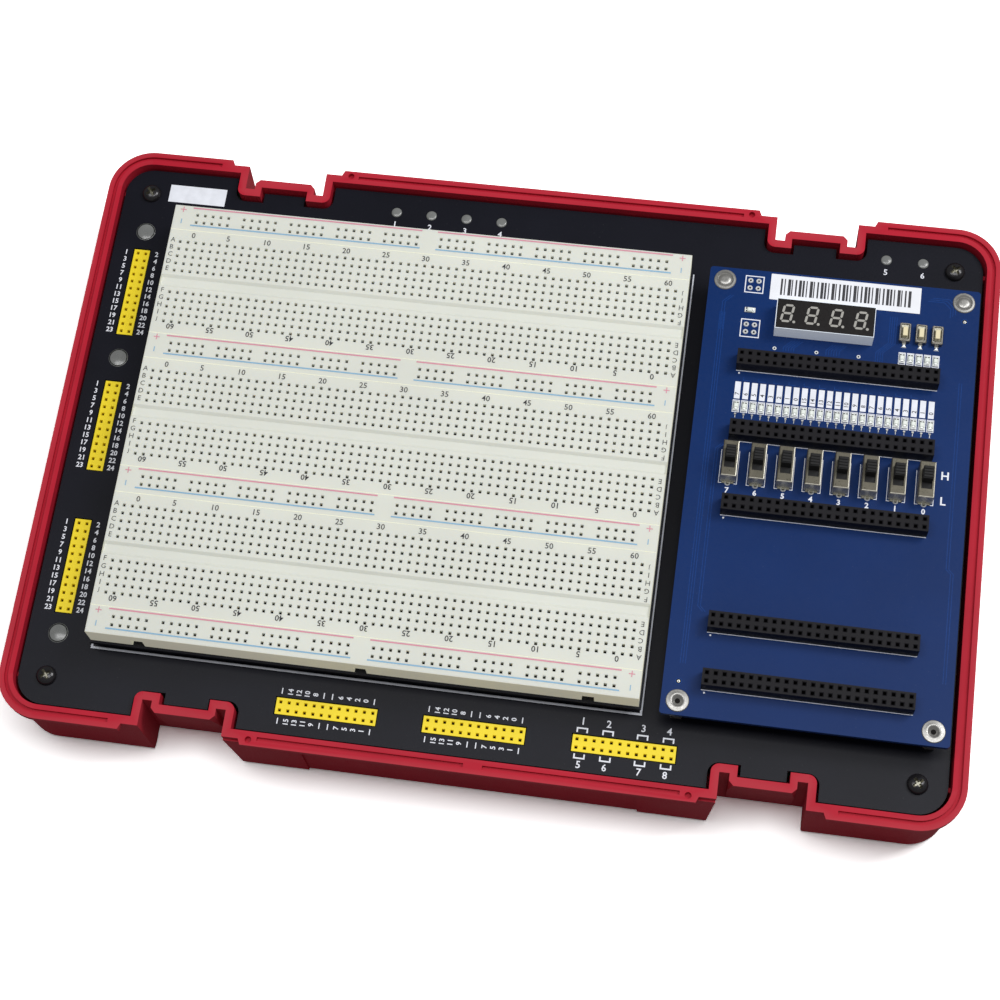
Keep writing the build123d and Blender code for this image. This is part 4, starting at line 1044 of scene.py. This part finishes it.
# %% [markdown]
# A slide switch is a folded metal shell with a slot, and a ridged black knob in the slot. The
# shell's right and front sides get a pale finish, a painted highlight for the light that they
# catch, and the slot's walls are painted dark as shade. Knobs move, so each is a piece of its own
# on its own body.

# %% Switch shells
shell_top = box_of("switch_shells")[1].z
SHELL_WIDTH, SHELL_LENGTH, SHELL_BEND = 4.7, 11.5, 0.3
SLOT_WIDTH, SLOT_LENGTH, SLOT_WALL, SLOT_DEPTH = 3.2, 6.2, 0.4, 2.4


def switch_shell(tall):
    """Folded shell with rounded bends and an open slot, centred on the origin."""
    part = Kit()
    w, h, b = SHELL_WIDTH / 2, SHELL_LENGTH / 2, SHELL_BEND
    slot = SLOT_WIDTH / 2, SLOT_LENGTH / 2
    bend = [centred(w - c * b, h - c * b, tall - d * b) for c, d in ((0, 1), (0.3, 0.3), (1, 0))]
    part.shells([centred(w, h, 0.0), *bend, centred(*slot, tall), centred(*slot, tall - SLOT_WALL)],
                shell_metal, cap=False)
    part.bm.normal_update()
    # Faces turned to the right or to the front take the painted highlight.
    for face in part.bm.faces:
        if face.normal.y < -0.2 or face.normal.x > 0.2:
            face.material_index = part.index(shell_painted_highlight)
    # Inside the slot the walls are painted shade.
    part.shells([centred(*slot, tall - SLOT_WALL), centred(*slot, tall - SLOT_DEPTH)], painted_shade_dark)
    return part


kit = Kit()
repeat(kit, switch_shell(shell_top - board_z), switch_middle, SWITCH_Y, board_z, SWITCH_COUNT, SWITCH_STEP)
kit.dress("switch_shells", crease=20)

# %% Switch knobs
KNOB_HALF_X, KNOB_HALF_Y, KNOB_OFFSET = 1.5, 2.0, 1.0
RIDGES, RIDGE_TALL, RIDGE_HALF = 4, 0.35, 0.4
ridge_step = (2 * KNOB_HALF_Y - 0.4) / RIDGES
for number in range(SWITCH_COUNT):
    node = f"slider_{number}"
    low, high = box_of(node)
    x, y = (low.x + high.x) / 2, SWITCH_Y + KNOB_OFFSET
    shoulder = high.z - RIDGE_TALL
    kit = Kit()
    kit.slab(low.x, low.y, high.x, high.y, low.z, shell_top - 0.55, black_knob, bevel=0.1)
    kit.block(x, y, KNOB_HALF_X, KNOB_HALF_Y, shell_top - 0.6, shoulder, black_knob, 0.05)
    for n in range(RIDGES):
        middle = y - KNOB_HALF_Y + 0.2 + (n + 0.5) * ridge_step
        kit.block(x, middle, KNOB_HALF_X - 0.15, RIDGE_HALF, shoulder, high.z, black_knob, 0.1)
    kit.dress(node, body=node + "_body")

# %% [markdown]
# A push button is a pressed metal can on a moulded base, with a cream plunger in a recess and a
# soldered terminal at each end. The plunger keeps its CAD shape. The can's rim is raised, and a
# short bracket at its front end carries two bright corners.

# %% Push buttons
BUTTON_COUNT, BUTTON_STEP, BUTTON_Y = 3, 4.89, 54.5
BUTTON_WIDTH, BUTTON_LENGTH, BUTTON_TALL = 3.4, 6.2, 1.8


def push_button():
    """Metal can with its recess, bracket and terminals, centred on the origin."""
    part = Kit()
    w, h, t = BUTTON_WIDTH / 2, BUTTON_LENGTH / 2, BUTTON_TALL

    def loop(a, c, cut, z):
        return [(-a + cut, -c, z), (a - cut, -c, z), (a, -c + cut, z), (a, c - cut, z),
                (a - cut, c, z), (-a + cut, c, z), (-a, c - cut, z), (-a, -c + cut, z)]

    part.shells([loop(w, h, 0.3, 0.0), loop(w, h, 0.3, t - 0.2), loop(w - 0.15, h - 0.15, 0.3, t),
                 loop(w - 0.45, h - 0.45, 0.25, t), loop(w - 0.6, h - 0.6, 0.2, t - 0.35)],
                button_metal, cap=False)
    part.shells([loop(w - 0.6, h - 0.6, 0.2, t - 0.35), loop(0.9, 1.75, 0.15, t - 0.5)], dull_steel)
    part.slab(-w + 0.45, -h + 0.5, w - 0.45, -h + 0.95, t - 0.45, t - 0.05, button_metal, bevel=0.1)
    for x in (0.45 - w, w - 0.45):
        part.slab(x - 0.25, -h + 0.35, x + 0.25, -h + 0.85, t - 0.2, t, bright_tin, bevel=0.1)
    part.slab(-0.6, h - 0.1, 0.6, h + 0.6, 0.0, 0.28, tin, bevel=0.06)
    part.slab(0.0, h + 0.05, 0.6, h + 0.5, 0.2, 0.5, bright_tin, bevel=0.12)
    part.slab(-0.6, -h - 0.6, 0.6, -h + 0.1, 0.0, 0.28, tin, bevel=0.06)
    part.shells([[(-0.85, -h - 1.5, 0.0), (0.85, -h - 1.5, 0.0), (0.0, -h - 0.2, 0.0)],
                 [(-0.5, -h - 1.3, 0.35), (0.6, -h - 1.3, 0.3), (0.05, -h - 0.4, 0.4)]], bright_tin)
    return part


kit = Kit()
repeat(kit, push_button(), centre_of("button_bodies")[0], BUTTON_Y, board_z, BUTTON_COUNT, BUTTON_STEP)
kit.dress("button_bodies", "buttons")

# %% [markdown]
# The blue board stands on four six-sided posts. Each is spun over on top of the board into a
# nickel flange. In the picture the two front ones funnel into a small dark hole, and a round
# screw end fills the two rear ones.

# %% Board posts
post_low, post_high = box_of("board_posts")
POST_STEP_X, HEX_RADIUS, HEX_BEVEL, FLANGE, HOLE = 73.3, 3.0, 0.25, 3.4, 0.75
BOARD_THICKNESS = 1.6
under, top = board_z - BOARD_THICKNESS, post_high.z


def board_post(middle):
    """Six-sided post with a spun flange on top of the board, and the given middle."""
    part = Kit()
    part.shells([circle(radius, z, 6) for radius, z in (
        (HEX_RADIUS - HEX_BEVEL, post_low.z), (HEX_RADIUS, post_low.z + HEX_BEVEL),
        (HEX_RADIUS, under - HEX_BEVEL), (HEX_RADIUS - HEX_BEVEL, under))], nickel)
    flange = [(FLANGE, board_z), (FLANGE, top - 0.35), (FLANGE - 0.2, top - 0.15), (FLANGE - 0.8, top - 0.1)]
    part.lathe(flange + middle, nickel)
    return part


funnel = [(2.3, top - 0.05), (2.0, top), (1.6, top - 0.15), (1.2, top - 0.5), (HOLE, top - 0.9)]
dome = [(2.35, top - 0.3), (2.1, top - 0.45), (1.95, top - 0.3), (1.6, top - 0.1), (1.0, top), (0.4, top),
        (0.1, top)]
kit = Kit()
middle_x = (post_low.x + post_high.x) / 2
open_post = board_post(funnel)
# The floor of the hole is a disc of painted shade.
open_post.disc(0, 0, HOLE + 0.05, top - 0.92, top - 0.88, painted_shade_dark, 40)
repeat(kit, open_post, middle_x, post_low.y + FLANGE, columns=2, step_x=POST_STEP_X)
repeat(kit, board_post(dome), middle_x, post_high.y - FLANGE, columns=2, step_x=POST_STEP_X)
kit.dress("board_posts", "posts", crease=35)

# %% [markdown]
# The display: each digit is seven slanted bars with pointed ends, a little apart from each
# other, and a round dot, all a hair proud of the dark face.

# %% Display digits
low, high = box_of("display_face")
face_z, display_y = high.z, (low.y + high.y) / 2
DIGITS, DIGIT_WIDTH, DIGIT_HEIGHT, BAR, BAR_GAP = 4, 2.8, 5.4, 0.72, 0.3
DIGIT_SHIFT, DIGIT_LIFT, SLANT = -0.45, 0.15, math.tan(math.radians(9))
kit = Kit()


def leaning_bar(x, y, along_x, length):
    """Outline of one pointed bar of a digit, leaning with the digit."""
    long, wide = length / 2, BAR / 2
    outline = [(-long, 0), (wide - long, -wide), (long - wide, -wide), (long, 0), (long - wide, wide),
               (wide - long, wide)]
    if not along_x:
        outline = [(-b, a) for a, b in outline]
    return [(x + dx + SLANT * (y + dy - display_y), y + dy) for dx, dy in outline]


for n in range(DIGITS):
    x = low.x + (high.x - low.x) / DIGITS * (n + 0.5) + DIGIT_SHIFT
    y, tall = display_y + DIGIT_LIFT, DIGIT_HEIGHT / 2
    bars = [(x, y + level * tall, True, DIGIT_WIDTH - BAR_GAP) for level in (-1, 0, 1)]
    bars += [(x + side * DIGIT_WIDTH / 2, y + level * tall, False, tall - BAR_GAP)
             for side in (-1, 1) for level in (-0.5, 0.5)]
    for bar in bars:
        kit.plate(leaning_bar(*bar), face_z - 0.01, face_z + INK, segment_grey)
    kit.disc(x + DIGIT_WIDTH / 2 + 0.75, display_y - tall + 0.1, 0.45, face_z - 0.01, face_z + INK,
             segment_grey, 14)
kit.ride("display_digits")

# %% [markdown]
# The paper label carries plain upright bars in an even rhythm, which say nothing.

# %% Label bars
low, high = box_of("blank_label")
BARS, BAR_STEP, BAR_MARGIN = 36, 1.12, 3.1
RHYTHM = (0.6, 0.35, 0.9, 0.35, 0.5, 0.85)
kit = Kit()
for n in range(BARS):
    x = low.x + BAR_MARGIN + n * BAR_STEP
    kit.slab(x, low.y + 1.8, x + RHYTHM[n % len(RHYTHM)], high.y - 1.4, high.z, high.z + 0.02, dark_ink)
kit.ride("label_bars")
